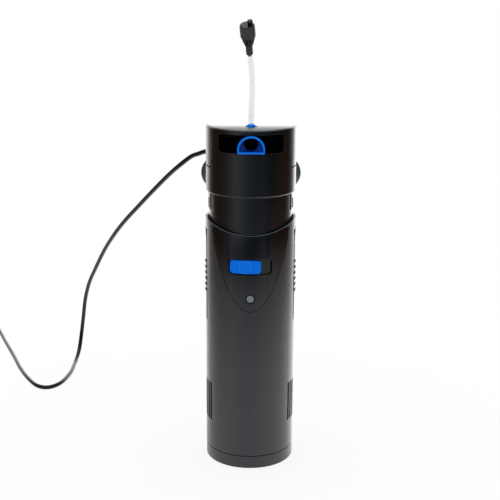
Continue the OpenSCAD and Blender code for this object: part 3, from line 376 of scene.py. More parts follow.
def plastic(name, colour, rough, grain=0.0, edge=0.0, vary=0.12, specular=0.5):
    """Moulded plastic or rubber: faint flow marks in the colour, uneven gloss and a fine moulded grain."""
    mat, tree, shader = new_material(name)
    coords = object_coords(tree)
    flow = noise(tree, coords, FLOW_SCALE, 4.0, (1, 1, 0.35))
    low = tuple(c * (1 - vary) for c in colour)
    high = tuple(min(1, c * (1 + vary)) for c in colour)
    tree.links.new(ramp(tree, flow, low, high), shader.inputs["Base Color"])
    handled = noise(tree, coords, GLOSS_SCALE, 5.0)
    tree.links.new(spread_to(tree, handled, rough * 0.85, rough * 1.18), shader.inputs["Roughness"])
    shader.inputs["Specular IOR Level"].default_value = specular
    if grain or edge:
        bump = tree.nodes.new("ShaderNodeBump")
        bump.inputs["Strength"].default_value = max(grain, 0.001)
        bump.inputs["Distance"].default_value = GRAIN_DEPTH
        tree.links.new(noise(tree, coords, GRAIN_SCALE, 2.0), bump.inputs["Height"])
        if edge:
            bevel = tree.nodes.new("ShaderNodeBevel")
            bevel.samples = 6
            bevel.inputs["Radius"].default_value = edge * MM
            tree.links.new(bevel.outputs["Normal"], bump.inputs["Normal"])
        tree.links.new(bump.outputs["Normal"], shader.inputs["Normal"])
    return mat


GLASS_IOR = 1.45


def clear(name, tint, rough, haze):
    """See-through plastic or glass with a faint cloudiness."""
    mat, tree, shader = new_material(name)
    coords = object_coords(tree)
    cloud = noise(tree, coords, 60.0, 3.0)
    low = tuple(c * (1 - haze) for c in tint)
    tree.links.new(ramp(tree, cloud, low, tint), shader.inputs["Base Color"])
    uneven = noise(tree, coords, 220.0)
    tree.links.new(spread_to(tree, uneven, rough * 0.7, rough * 1.3), shader.inputs["Roughness"])
    shader.inputs["Transmission Weight"].default_value = 1.0
    shader.inputs["IOR"].default_value = GLASS_IOR
    return mat


def metal(name, colour, rough, stretch=(1, 1, 12)):
    mat, tree, shader = new_material(name)
    coords = object_coords(tree)
    lines = noise(tree, coords, 900.0, 2.0, stretch)
    low = tuple(c * 0.85 for c in colour)
    tree.links.new(ramp(tree, lines, low, colour), shader.inputs["Base Color"])
    tree.links.new(spread_to(tree, lines, rough * 0.8, rough * 1.3), shader.inputs["Roughness"])
    shader.inputs["Metallic"].default_value = 1.0
    return mat


def foam(name, colour):
    """Open-cell sponge."""
    mat, tree, shader = new_material(name)
    coords = object_coords(tree)
    cells = tree.nodes.new("ShaderNodeTexVoronoi")
    cells.inputs["Scale"].default_value = 700.0
    tree.links.new(coords, cells.inputs["Vector"])
    dark = tuple(c * 0.2 for c in colour)
    pores = ramp(tree, cells.outputs["Distance"], colour, dark, (0.2, 0.7))
    tree.links.new(pores, shader.inputs["Base Color"])
    shader.inputs["Roughness"].default_value = 0.95
    bump = tree.nodes.new("ShaderNodeBump")
    bump.inputs["Strength"].default_value = 0.9
    bump.inputs["Distance"].default_value = 0.0006
    tree.links.new(cells.outputs["Distance"], bump.inputs["Height"])
    tree.links.new(bump.outputs["Normal"], shader.inputs["Normal"])
    return mat


# Where the nozzle's colours change, as pairs of start and end: below the collar, down to the mouth's floor,
# in front of the bore, and from the middle to the corners. They place painted shade inside the nozzle
# and painted light on the mouth's floor.
COLLAR_FOOT_Z = (345.5, 346.5)
MOUTH_FLOOR_Z = (340.0, 329.0)
BORE_FRONT_Y = (-35.9, -36.1)
CORNER_X = (3.0, 9.0)
# Painted light: the blue of the lit floor, in its middle and at its corners
FLOOR_MIDDLE = (0.0, 0.020, 0.30, 1)
FLOOR_CORNER = (0.006, 0.085, 0.48, 1)


def nozzle_plastic(name, colour, painted_shade_colour, front, back, rough):
    """Blue at the mouth's rim; painted shade makes it nearly black further in, and painted light gives a
    lighter floor in front of the bore.
    """
    mat = plastic(name, colour, rough=rough, grain=0.04, edge=0.4, vary=0.05, specular=0.12)
    tree, shader, blue = parts_of(mat)
    x, y, z = split_axes(tree, object_coords(tree))
    # Painted shade: further in and below the collar the blue gives way to near black
    depth = ease(tree, y, front * MM, back * MM)
    painted_shade_mask = calc(tree, "MULTIPLY", depth, between(tree, z, *COLLAR_FOOT_Z, 1.0, 0.0))
    # Painted light: a lighter floor in front of the bore, lighter still towards the corners
    painted_light_floor = calc(tree, "MULTIPLY", between(tree, z, *MOUTH_FLOOR_Z), between(tree, y, *BORE_FRONT_Y))
    corner = ease(tree, calc(tree, "ABSOLUTE", x), *(v * MM for v in CORNER_X))
    painted_light_floor_blue = blend_colours(tree, corner, FLOOR_MIDDLE, FLOOR_CORNER)
    inner = blend_colours(tree, painted_light_floor, (*painted_shade_colour, 1), painted_light_floor_blue)
    tree.links.new(blend_colours(tree, painted_shade_mask, blue, inner), shader.inputs["Base Color"])
    return mat


def slider_plastic(name, colour, flange, middle, half):
    """Blue plate; the flange above and below it is coloured near black, as painted shade in the window's
    gaps.
    """
    mat = plastic(name, colour, rough=0.30, grain=0.05, edge=0.35, vary=0.05, specular=0.05)
    tree, shader, blue = parts_of(mat)
    _, _, z = split_axes(tree, object_coords(tree))
    on_plate = tree.nodes.new("ShaderNodeMath")
    on_plate.operation = "COMPARE"
    on_plate.inputs[1].default_value = middle * MM
    on_plate.inputs[2].default_value = half * MM
    tree.links.new(z, on_plate.inputs[0])
    # Painted shade: outside the plate's band the colour is near black
    tree.links.new(blend_colours(tree, on_plate.outputs[0], (*flange, 1), blue), shader.inputs["Base Color"])
    return mat


# The air valve's place, lean and sizes, as in the solid
VALVE_POS = Vector((-1.9, -NOZZLE_FWD - 6.5, HEAD_TOP + 70.1))
VALVE_TURN = Matrix.Rotation(math.radians(27), 3, "X") @ Matrix.Rotation(math.radians(-4.7), 3, "Y")
VALVE_AXIS = VALVE_TURN @ Vector((0, 0, 1))
VALVE_STEM_LEN = 9.6
VALVE_CONE_LEN = 9.2
VALVE_STEM_R = 3.35
VALVE_CONE_R = 5.85
KNOB_TOP = 31.7


def along_valve(tree):
    """Place from the foot of the valve's stem, and height along the valve."""
    off = vector_calc(tree, "SUBTRACT", object_coords(tree), VALVE_POS * MM)
    return off, vector_calc(tree, "DOT_PRODUCT", off, VALVE_AXIS, "Value")


def valve_plastic(name, colour, painted_vane_shade):
    """Matte black, with painted shade making it darker between the vanes on the cone."""
    mat = plastic(name, colour, rough=0.40, edge=0.2, specular=0.08)
    tree, shader, plain = parts_of(mat)
    off, height = along_valve(tree)
    radius = vector_calc(tree, "LENGTH", vector_calc(tree, "CROSS_PRODUCT", off, VALVE_AXIS), None, "Value")
    top = VALVE_STEM_LEN + VALVE_CONE_LEN
    cone = between(tree, height, VALVE_STEM_LEN, top, VALVE_STEM_R * MM, VALVE_CONE_R * MM)
    # Painted shade: the cone's face between the vanes is coloured darker
    painted_shade_mask = between(tree, calc(tree, "SUBTRACT", radius, cone), 0.2, 0.5, 1.0, 0.0)
    above = between(tree, height, VALVE_STEM_LEN, VALVE_STEM_LEN + 0.6)
    below = between(tree, height, top - 0.6, top, 1.0, 0.0)
    fac = calc(tree, "MULTIPLY", painted_shade_mask, calc(tree, "MULTIPLY", above, below))
    tree.links.new(blend_colours(tree, fac, plain, (*painted_vane_shade, 1)), shader.inputs["Base Color"])
    return mat


def knob_plastic(name, side, top, polish):
    """Matte sides and a smoother, more polished top."""
    mat = plastic(name, side, rough=0.34, edge=0.25, specular=0.16)
    tree, shader, plain = parts_of(mat)
    matte = shader.inputs["Roughness"].links[0].from_socket
    _, height = along_valve(tree)
    on_top = between(tree, height, KNOB_TOP - 0.6, KNOB_TOP - 0.2)
    tree.links.new(blend_colours(tree, on_top, plain, (*top, 1)), shader.inputs["Base Color"])
    tree.links.new(blend_values(tree, on_top, matte, polish), shader.inputs["Roughness"])
    return mat


# Upward part of a face's normal, from where a face begins to count as level
LEVEL_FACE = (0.75, 0.97)


def duller_front(mat, start, end, rough):
    """Less polished towards the front edge of an upward face; its shape is left alone."""
    tree, shader, _ = parts_of(mat)
    plain = shader.inputs["Roughness"].links[0].from_socket
    coords = tree.nodes.new("ShaderNodeTexCoord")
    _, y, _ = split_axes(tree, coords.outputs["Object"])
    _, _, up = split_axes(tree, coords.outputs["Normal"])
    front = ease(tree, calc(tree, "MULTIPLY", y, -1.0), start * MM, end * MM)
    share = calc(tree, "MULTIPLY", front, ease(tree, up, *LEVEL_FACE))
    tree.links.new(blend_values(tree, share, plain, rough), shader.inputs["Roughness"])
    return mat


def sheer(name, colour, middle, rim, rough):
    """Thin clear tubing: hardly there in the middle, a faint line at each edge."""
    mat, tree, shader = new_material(name)
    coords = object_coords(tree)
    cloud = noise(tree, coords, 90.0, 3.0)
    tree.links.new(ramp(tree, cloud, tuple(c * 0.94 for c in colour), colour), shader.inputs["Base Color"])
    tree.links.new(spread_to(tree, cloud, rough * 0.8, rough * 1.2), shader.inputs["Roughness"])
    shader.inputs["Specular IOR Level"].default_value = 0.2
    weight = tree.nodes.new("ShaderNodeLayerWeight")
    weight.inputs["Blend"].default_value = 0.35
    alpha = ease(tree, weight.outputs["Facing"], 0.45, 0.95, middle, rim)
    tree.links.new(alpha, shader.inputs["Alpha"])
    return mat


SATIN_BLACK = plastic("satin_black", (0.0060, 0.0060, 0.0064), rough=0.30, grain=0.10, edge=0.30)
# Glossy rim bead, lighter and bluer than the shell: a painted highlight along the rim
RIM_GLOSS_PAINTED_HIGHLIGHT = plastic("rim_gloss_painted_highlight", (0.026, 0.032, 0.036), rough=0.12, vary=0.05)
HEAD_BLACK = plastic("head_black", (0.0030, 0.0028, 0.0028), rough=0.24, grain=0.08, edge=0.35)
LID_BLACK = plastic("lid_black", (0.0030, 0.0028, 0.0028), rough=0.24, grain=0.08, edge=0.35)
duller_front(LID_BLACK, 6.0, 36.0, 0.56)
NECK_BLACK = plastic("neck_black", (0.0026, 0.0025, 0.0026), rough=0.22, grain=0.08, edge=0.25)
BASE_BLACK = plastic("base_black", (0.0058, 0.0060, 0.0066), rough=0.32, grain=0.10, edge=0.25)
PANEL_GLOSS = plastic("panel_gloss", (0.0020, 0.0020, 0.0022), rough=0.09, vary=0.05, edge=0.12)
PUMP_BLUE = plastic("pump_blue", (0.0, 0.15, 0.70), rough=0.30, grain=0.05, vary=0.05, specular=0.3)
# Blue slider whose flange colour is painted shade for the gaps above and below its plate
SLIDER_BLUE = slider_plastic("slider_blue", (0.0, 0.150, 0.74), (0.002, 0.002, 0.003), 214.3, 6.9)
DOT_BLUE = plastic("dot_blue", (0.16, 0.46, 1.0), rough=0.3, vary=0.05, specular=0.1)
# Blue nozzle with painted shade inside it and painted light on its mouth's floor
NOZZLE_BLUE = nozzle_plastic("nozzle_blue", (0.0, 0.20, 0.92), (0.0, 0.001, 0.005), -46.0, -38.5, 0.25)
LIP_BLUE = plastic("lip_blue", (0.0, 0.175, 0.84), rough=0.25, grain=0.04, vary=0.04, specular=0.10)
LENS_GREY = plastic("lens_grey", (0.15, 0.165, 0.18), rough=0.25, vary=0.12)
CORD_BLACK = plastic("cord_black", (0.0022, 0.0022, 0.0024), rough=0.18, grain=0.04, vary=0.1, specular=0.22)
PLUG_BLACK = plastic("plug_black", (0.008, 0.008, 0.008), rough=0.38, grain=0.15, edge=0.5)
TIE_BLACK = plastic("tie_black", (0.012, 0.012, 0.012), rough=0.4, edge=0.2)
SEAL_BLACK = plastic("seal_black", (0.006, 0.006, 0.006), rough=0.35, vary=0.1)
# Near-black strips on seams, grooves and recesses: painted shade where only shade falls
GROOVE_PAINTED_SHADE = plastic("groove_painted_shade", (0.0008, 0.0008, 0.0008), rough=0.6, vary=0.1, specular=0.08)
INNER_BLACK = plastic("inner_black", (0.018, 0.019, 0.020), rough=0.42, grain=0.1, edge=0.3)
SILICONE = plastic("silicone", (0.045, 0.060, 0.064), rough=0.30, grain=0.05, vary=0.12)
# Matte black valve with painted shade between the vanes of its cone
VALVE_BLACK = valve_plastic("valve_black", (0.043, 0.040, 0.042), (0.0015, 0.0015, 0.0015))
KNOB_GLOSS = knob_plastic("knob_gloss", (0.040, 0.037, 0.039), (0.002, 0.003, 0.004), 0.22)
AIR_CLEAR = sheer("air_clear", (0.70, 0.67, 0.64), 0.125, 0.40, 0.3)
QUARTZ = clear("quartz", (0.96, 0.98, 1.0), 0.02, haze=0.02)
LAMP_GLASS = clear("lamp_glass", (0.92, 0.94, 0.97), 0.05, haze=0.08)
SOCKET_WHITE = plastic("socket_white", (0.72, 0.71, 0.68), rough=0.4, vary=0.04)
POTTING = plastic("potting", (0.012, 0.012, 0.015), rough=0.15, vary=0.2)
BOARD_GREEN = plastic("board_green", (0.02, 0.13, 0.05), rough=0.4, vary=0.3)
MAGNET_GREY = plastic("magnet_grey", (0.09, 0.09, 0.09), rough=0.5, grain=0.3)
SHAFT_WHITE = plastic("shaft_white", (0.75, 0.74, 0.70), rough=0.15, vary=0.03)
STEEL = metal("steel", (0.66, 0.67, 0.68), 0.3)
CORE_STEEL = metal("core_steel", (0.34, 0.35, 0.36), 0.45, (1, 1, 40))
COPPER = metal("copper", (0.72, 0.35, 0.16), 0.35, (1, 1, 30))
BLADE_METAL = metal("blade_metal", (0.72, 0.70, 0.62), 0.22)
FOAM = foam("foam", (0.07, 0.075, 0.08))

FINISH = {
    "base_cap": BASE_BLACK,
    "canister_shell": SATIN_BLACK,
    "latch_left": SATIN_BLACK,
    "latch_right": SATIN_BLACK,
    "strainer_tube": INNER_BLACK,
    "divider_grid": INNER_BLACK,
    "switch_panel": PANEL_GLOSS,
    "indicator_lens": LENS_GREY,
    "switch_slider": SLIDER_BLUE,
    "slider_magnet": MAGNET_GREY,
    "neck": NECK_BLACK,
    "neck_seal": SEAL_BLACK,
    "head_shell": HEAD_BLACK,
    "top_cap": LID_BLACK,
    "volute_housing": INNER_BLACK,
    "rotor_can": STEEL,
    "stator_core": CORE_STEEL,
    "stator_coils": COPPER,
    "motor_potting": POTTING,
    "impeller": PUMP_BLUE,
    "rotor_magnet": MAGNET_GREY,
    "rotor_shaft": SHAFT_WHITE,
    "lamp_socket": SOCKET_WHITE,
    "uv_lamp": LAMP_GLASS,
    "quartz_sleeve": QUARTZ,
    "sleeve_seal": SEAL_BLACK,
    "sleeve_nut": INNER_BLACK,
    "ballast_board": BOARD_GREEN,
    "reed_switch": SOCKET_WHITE,
    "outlet_nozzle": NOZZLE_BLUE,
    "nozzle_seal": SEAL_BLACK,
    "valve_body": VALVE_BLACK,
    "valve_knob": KNOB_GLOSS,
    "suction_bracket": HEAD_BLACK,
    "cord_gland": PLUG_BLACK,
    "cord_tie": TIE_BLACK,
    "plug_body": PLUG_BLACK,
    "plug_blades": BLADE_METAL,
}

for name, finish in FINISH.items():
    NODES[name].data.materials.clear()
    NODES[name].data.materials.append(finish)

# ---------------------------------------------------------------- power cord

GLAND_ANGLE = math.radians(133)
GLAND_DIR = Vector((math.cos(GLAND_ANGLE), math.sin(GLAND_ANGLE), 0))
GLAND_LEN = 20
GLAND_Z = 312
GLAND_TIP = GLAND_DIR * (HEAD_R + GLAND_LEN) + Vector((0, 0, GLAND_Z))
CORD_LIE = CORD_D / 2 + 0.55
COIL_X, COIL_Y = -397, 425
COIL_TURNS = 2
COIL_PITCH = CORD_D + 0.6
COIL_MEAN_R = 27
COIL_OUT_R = COIL_MEAN_R + COIL_TURNS * COIL_PITCH / 2
COIL_IN_R = COIL_MEAN_R - COIL_TURNS * COIL_PITCH / 2
COIL_LEAD = 8
COIL_CLIMB = 180
COIL_START = Vector((COIL_X + COIL_OUT_R, COIL_Y - COIL_LEAD - 0.3, CORD_LIE))
PLUG_SIDE = Vector((COIL_X - COIL_OUT_R, COIL_Y - COIL_LEAD, CORD_LIE + COIL_PITCH))

CORD_ROUTE = [
    GLAND_TIP + GLAND_DIR * 0.3,
    GLAND_TIP + GLAND_DIR * CORD_D + Vector((0, 0, -0.3)),
    (-54.5, 57, 308.3),
    (-63, 65, 303.7),
    (-75.5, 75, 292.6),
    (-89, 91, 278.5),
    (-107.5, 113, 257),
    (-128, 139, 232),
    (-146, 163, 209.5),
    (-161, 185, 188),
    (-176, 210, 163),
    (-191, 236, 133),
    (-203, 257, 107),
    (-211, 273, 81),
    (-215.5, 282, 56),
    (-219, 284, 32),
    (-221.5, 273, 11),
    (-223, 246, CORD_LIE),
    (-223.5, 213, CORD_LIE),
    (-230, 179, CORD_LIE),
    (-242, 164, CORD_LIE),
    (-256, 168, CORD_LIE),
    (-271, 190, CORD_LIE),
    (-288, 225, CORD_LIE),
    (-307, 273, CORD_LIE),
    (-328, 324, CORD_LIE),
    (-345, 367, CORD_LIE),
    (-357, 395, CORD_LIE),
    COIL_START + Vector((0, -5, 0)),
    COIL_START,
]


def coil_points(step_deg):
    """In over the lower layer, up a layer in half a turn, out over the upper one."""
    inward = COIL_TURNS * 360
    outward = inward + COIL_CLIMB
    sweep = 2 * inward + COIL_CLIMB
    out = []
    for i in range(round(sweep / step_deg) + 1):
        a = i * step_deg
        if a < inward:
            r, up = COIL_OUT_R - COIL_PITCH * a / 360, 0.0
        elif a < outward:
            r = COIL_IN_R - COIL_PITCH * min(a - inward, outward - a) / 360
            up = (a - inward) / COIL_CLIMB
        else:
            r, up = COIL_IN_R + COIL_PITCH * (a - outward) / 360, 1.0
        t = math.radians(a)
        out.append(Vector((COIL_X + r * math.cos(t), COIL_Y + r * math.sin(t), CORD_LIE + COIL_PITCH * up)))
    return out


CORD_STEP = 5.0
COIL_STEP_DEG = 10.0
free = [Vector((p.x, p.y, max(p.z, CORD_LIE))) for p in spline_points(CORD_ROUTE, CORD_STEP)]
cord_line = free + coil_points(COIL_STEP_DEG) + [PLUG_SIDE + Vector((0, CORD_D, 0)), PLUG_SIDE]

power_lead = tube("power_lead", cord_line, CORD_D / 2, sides=20)
power_lead.data.materials.append(CORD_BLACK)
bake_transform(power_lead)
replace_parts(power_lead, "power_cord", "cord_coil")

# ---------------------------------------------------------------- air line

AIR_ROUTE = [
    (0, -NOZZLE_FWD, COLLAR_TOP + 0.1),
    (0, -NOZZLE_FWD, COLLAR_TOP + 3),
    (0, -NOZZLE_FWD, HEAD_TOP + 8),
    (0.1, -NOZZLE_FWD, HEAD_TOP + 16),
    (0.6, -NOZZLE_FWD, HEAD_TOP + 31),
    (0.7, -NOZZLE_FWD - 0.3, HEAD_TOP + 43),
    (0.1, -NOZZLE_FWD - 1.3, HEAD_TOP + 54),
    (-0.9, -NOZZLE_FWD - 3.5, HEAD_TOP + 63),
    (-1.9, -NOZZLE_FWD - 6.5, HEAD_TOP + 70.1),
]
AIR_STEP = 1.5
air_line = spline_points(AIR_ROUTE, AIR_STEP)
air_tube = tube("clear_air_tube", air_line, AIR_D / 2, sides=32, bore=AIR_BORE / 2)
on(air_tube, "nozzle", AIR_CLEAR)
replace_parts(air_tube, "air_tube")

# ---------------------------------------------------------------- edges and trim


def rim_height(x):
    return RIM_Z + RIM_SADDLE_R - math.sqrt(RIM_SADDLE_R**2 - x * x)


BEAD_R = 0.5
BEAD_RING_R = BODY_R - BEAD_R + 0.1
BEAD_SINK = BEAD_R * 0.45
BEAD_STEPS = 180
SMALL_SIDES = 12
ring = []
for k in range(BEAD_STEPS):
    a = 2 * math.pi * k / BEAD_STEPS
    x = BEAD_RING_R * math.cos(a)
    ring.append(Vector((x, BEAD_RING_R * math.sin(a), rim_height(x) - BEAD_SINK)))
# The bead's lighter colour is a painted highlight along the rim
rim_bead = tube("rim_bead", ring, BEAD_R, sides=SMALL_SIDES, closed=True)
on(rim_bead, "canister", RIM_GLOSS_PAINTED_HIGHLIGHT)

MOUTH_CORNER_R = 2.4
ARCH_STEPS = 24
CORNER_STEPS = 6


def arc(centre, radius, start, sweep, steps):
    """Points on part of a circle, in X and Z."""
    angles = [start + sweep * k / steps for k in range(steps + 1)]
    return [(centre[0] + radius * math.cos(a), centre[1] + radius * math.sin(a)) for a in angles]


def mouth_outline(inset):
    """The arched mouth, anticlockwise from the lower left corner, in X and Z."""
    hw = MOUTH_HW - inset
    rise = MOUTH_H - 2 * inset - hw
    low = MOUTH_Z + inset
    corner = MOUTH_CORNER_R - inset
    quarter = math.pi / 2
    return [
        *arc((-hw + corner, low + corner), corner, math.pi, quarter, CORNER_STEPS),
        *arc((hw - corner, low + corner), corner, -quarter, quarter, CORNER_STEPS),
        *arc((0, low + rise), hw, 0, math.pi, ARCH_STEPS),
    ]


LIP_R = 0.85
LIP_Y = MOUTH_Y + 0.35
lip_line = [Vector((x, LIP_Y, z)) for x, z in mouth_outline(LIP_R)]
mouth_lip = tube("mouth_lip", lip_line, LIP_R, sides=SMALL_SIDES, closed=True)
on(mouth_lip, "nozzle", LIP_BLUE)

# Raised dots in a ring round the middle of the slider, as in the solid
SLIDER_R = BODY_R + 0.7
DOT_RING_R = 5.8
DOT_R = 0.42
DOT_ANGLE = math.radians(263.0)
DOT_Z = 214.3
DOT_COUNT = 11
# Rings of a dot: share of its radius, and height over the slider's face
DOT_RINGS = ((1.0, -0.05), (0.8, 0.05), (0.4, 0.10))


def dot_patch(verts, faces, along, up):
    """A low dome on the slider's curved face."""
    start = len(verts)
    for share, height in DOT_RINGS:
        for k in range(SMALL_SIDES):
            a = 2 * math.pi * k / SMALL_SIDES
            angle = DOT_ANGLE + (along + DOT_R * share * math.cos(a)) / SLIDER_R
            r = SLIDER_R + height
            verts.append((r * math.cos(angle), r * math.sin(angle), DOT_Z + up + DOT_R * share * math.sin(a)))
    faces += grid_faces(start, len(DOT_RINGS), SMALL_SIDES)
    top = start + (len(DOT_RINGS) - 1) * SMALL_SIDES
    faces.append(tuple(top + k for k in range(SMALL_SIDES)))


dot_verts, dot_faces = [], []
for k in range(DOT_COUNT):
    a = 2 * math.pi * (k + 0.5) / DOT_COUNT
    dot_patch(dot_verts, dot_faces, DOT_RING_R * math.cos(a), DOT_RING_R * math.sin(a))
slider_dots = mesh_from("slider_dots", dot_verts, dot_faces)
on(slider_dots, "slider", DOT_BLUE)

# Dark ring in which the lens sits: painted shade for its groove
LENS_Z = 181.9
LENS_D = 7.3
PANEL_R = BODY_R + 0.15


def on_skin(r, along, z):
    """Point on the front of a cylinder, along being measured round it from straight in front."""
    angle = along / r
    return Vector((r * math.sin(angle), -r * math.cos(angle), z))


BAND_SIDES = 8
BAND_DEPTH = 0.10


def band(name, pts, half_w, closed=False):
    """A dark line along points of an upright cylinder: a thin strip, widest across the line, that is painted
    shade standing in for a groove or seam.
    """
    verts = []
    n = len(pts)
    for i, p in enumerate(pts):
        before = pts[i - 1] if closed or i else pts[0]
        after = pts[(i + 1) % n] if closed else pts[min(i + 1, n - 1)]
        out = Vector((p.x, p.y, 0)).normalized()
        across = out.cross((after - before).normalized()).normalized()
        for k in range(BAND_SIDES):
            a = 2 * math.pi * k / BAND_SIDES
            verts.append(p + half_w * math.cos(a) * across + BAND_DEPTH * math.sin(a) * out)
    faces = grid_faces(0, n, BAND_SIDES, closed)
    if not closed:
        faces += end_caps((n - 1) * BAND_SIDES, BAND_SIDES)
    return mesh_from(name, verts, faces)


RING_R = LENS_D / 2 + 0.5
RING_HW = 0.55
RING_STEPS = 48
lens_ring_line = []
for k in range(RING_STEPS):
    a = 2 * math.pi * k / RING_STEPS
    lens_ring_line.append(on_skin(PANEL_R, RING_R * math.cos(a), LENS_Z + RING_R * math.sin(a)))
on(band("lens_ring_shade", lens_ring_line, RING_HW, closed=True), "canister", GROOVE_PAINTED_SHADE)

SEAM_Z = HEAD_Z + 47
SKIRT_Z = HEAD_Z + 26
SKIRT_HW = 21.8
SKIRT_LEAN = 3.3
SLOT_HW = 31.0


def rounded(corners, turn, steps=6):
    """Polyline through the corners, each inner corner rounded."""
    out = [Vector(corners[0])]
    for before, here, after in zip(corners, corners[1:], corners[2:]):
        before, here, after = Vector(before), Vector(here), Vector(after)
        a = here + (before - here).normalized() * turn
        b = here + (after - here).normalized() * turn
        for k in range(steps + 1):
            t = k / steps
            out.append((1 - t) ** 2 * a + 2 * t * (1 - t) * here + t * t * b)
    out.append(Vector(corners[-1]))
    return out


def finer(line, step):
    out = [line[0]]
    for a, b in zip(line, line[1:]):
        n = max(1, math.ceil((b - a).length / step))
        out += [a + (b - a) * (k / n) for k in range(1, n + 1)]
    return out


SIDE_LINE_STEP = 1.5


def side_line(side, radius, corners, turn):
    """A line on the side of an upright cylinder, given by corners in Y and Z."""
    pts = finer(rounded(corners, turn), SIDE_LINE_STEP)
    return [Vector((side * math.sqrt(radius**2 - p.x**2), p.x, p.y)) for p in pts]


# Painted shade along the head seam: from the outlet slot back along the shell, down the skirt's edge and
# round its foot
SLOT_EDGE_Y = -math.sqrt(HEAD_R**2 - (SLOT_HW + 0.3) ** 2)
SEAM_CORNERS = [
    (SLOT_EDGE_Y, SEAM_Z),
    (-SKIRT_HW - SKIRT_LEAN, SEAM_Z),
    (-SKIRT_HW, SKIRT_Z),
    (SKIRT_HW, SKIRT_Z),
    (SKIRT_HW + SKIRT_LEAN, SEAM_Z),
]
# Painted shade for the recess round a latch tab: the tab's half width, its slit and the recess's own width
LATCH_HW = 9.9
LATCH_Z = 150.4
LATCH_TOP = 243.9
RECESS_HW = 0.95
RECESS_Y = LATCH_HW + 0.6 + RECESS_HW
RECESS_LOW = LATCH_Z - 0.6
RECESS_MIDDLE = (LATCH_Z + LATCH_TOP) / 2
RECESS_HIGH = LATCH_TOP + 0.4
RECESS_TURN = 1.0
SEAM_HW = 0.65
SEAM_TURN = 2.5
for name, side in (("left", -1), ("right", 1)):
    seam = side_line(side, HEAD_R, SEAM_CORNERS, SEAM_TURN)
    on(band("head_seam_shade_" + name, seam, SEAM_HW), "head", GROOVE_PAINTED_SHADE)
    for place, y in (("front", -RECESS_Y), ("rear", RECESS_Y)):
        corners = [(y, RECESS_LOW), (y, RECESS_MIDDLE), (y, RECESS_HIGH)]
        edge = side_line(side, BODY_R, corners, RECESS_TURN)
        on(band("latch_recess_shade_" + name + "_" + place, edge, RECESS_HW), "canister", GROOVE_PAINTED_SHADE)

# ---------------------------------------------------------------- suction cups

CUP_X = 34.4
CUP_Z = HEAD_Z + 4.3
CUP_START = HEAD_R + 1.2 - 1.5
CUP_FACE = 64.0
CUP_R = 18.0
BRACKET_T = 2.2


def suction_cup(name, side):
    """A cup on its stem, facing the aquarium's pane."""
    depth = CUP_FACE - CUP_START
    neck_end = BRACKET_T + 1.5
    profile = [
        (0, 0),
        (3.4, 0),
        (4, 0.4),
        (4, 1.1),
        (3, 1.5),
        (3, neck_end),
        (4.6, neck_end + 0.05),
        (5.0, neck_end + 0.5),
        (5.2, neck_end + 3),
        (6.0, depth - 9.6),
        (7.5, depth - 8),
        (9.2, depth - 6.2),
        (11, depth - 5),
        (13.8, depth - 3),
        (CUP_R - 0.5, depth - 1.1),
        (CUP_R, depth - 0.6),
        (CUP_R, depth - 0.2),
        (CUP_R - 0.3, depth),
        (CUP_R - 1, depth - 0.1),
        (12, depth - 1.8),
        (8, depth - 3.2),
        (4, depth - 4.2),
        (0, depth - 4.5),
    ]
    place = Matrix.Translation((side * CUP_X, CUP_START, CUP_Z)) @ Matrix.Rotation(-math.pi / 2, 4, "X")
    cup = lathe(name, profile, place)
    cup.data.flip_normals()
    on(cup, "head", SILICONE)
    return cup


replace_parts(suction_cup("cup_left", -1), "suction_cup_left")
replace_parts(suction_cup("cup_right", 1), "suction_cup_right")

# ---------------------------------------------------------------- sponge

SPONGE_OUT_R = 41.5
SPONGE_IN_R = 8.95
SPONGE_Z = (21.5, 94.0)
SPONGE_ROUGH = 0.35
SPONGE_ROWS = 40
SPONGE_STEPS = 120


def sponge():
    """The cartridge, with uneven skin outside and a smooth hole for the strainer tube."""
    low, high = SPONGE_Z
    rng = np.random.default_rng(7)
    verts = []
    for r, jitter in ((SPONGE_OUT_R, SPONGE_ROUGH), (SPONGE_IN_R, 0.0)):
        for i in range(SPONGE_ROWS + 1):
            z = low + (high - low) * i / SPONGE_ROWS
            for k in range(SPONGE_STEPS):
                a = 2 * math.pi * k / SPONGE_STEPS
                rr = r - jitter * rng.random()
                verts.append(Vector((rr * math.cos(a), rr * math.sin(a), z)))
    skin = (SPONGE_ROWS + 1) * SPONGE_STEPS
    top = SPONGE_ROWS * SPONGE_STEPS
    faces = grid_faces(0, SPONGE_ROWS + 1, SPONGE_STEPS)
    faces += grid_faces(skin, SPONGE_ROWS + 1, SPONGE_STEPS, flip=True)
    faces += edge_faces(0, skin, SPONGE_STEPS, flip=True)
    faces += edge_faces(top, skin + top, SPONGE_STEPS, flip=False)
    return mesh_from("foam_sponge", verts, faces)


foam_sponge = on(sponge(), "canister", FOAM)
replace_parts(foam_sponge, "sponge_cartridge")

# ---------------------------------------------------------------- floor, backdrop and light

AMBIENT = 0.9
SKY_SHINE = (0.80, 0.98, 1.14)
# Distances in metres: where the near paper's light gives way to the middle's, and that to the far paper's,
# and where the paper's own white takes over from its lit white
PAPER_REACH = (0.30, 0.98)
PAPER_END = (0.88, 1.04)
OWN_WHITE = (0.10, 0.55)
# Share of its own white in the paper near the object
OWN_SHARE = 0.86
# Upward part of a mirrored direction, from where the sky begins to where it is all sky
SKY_SLOPE = (0.46, 0.74)

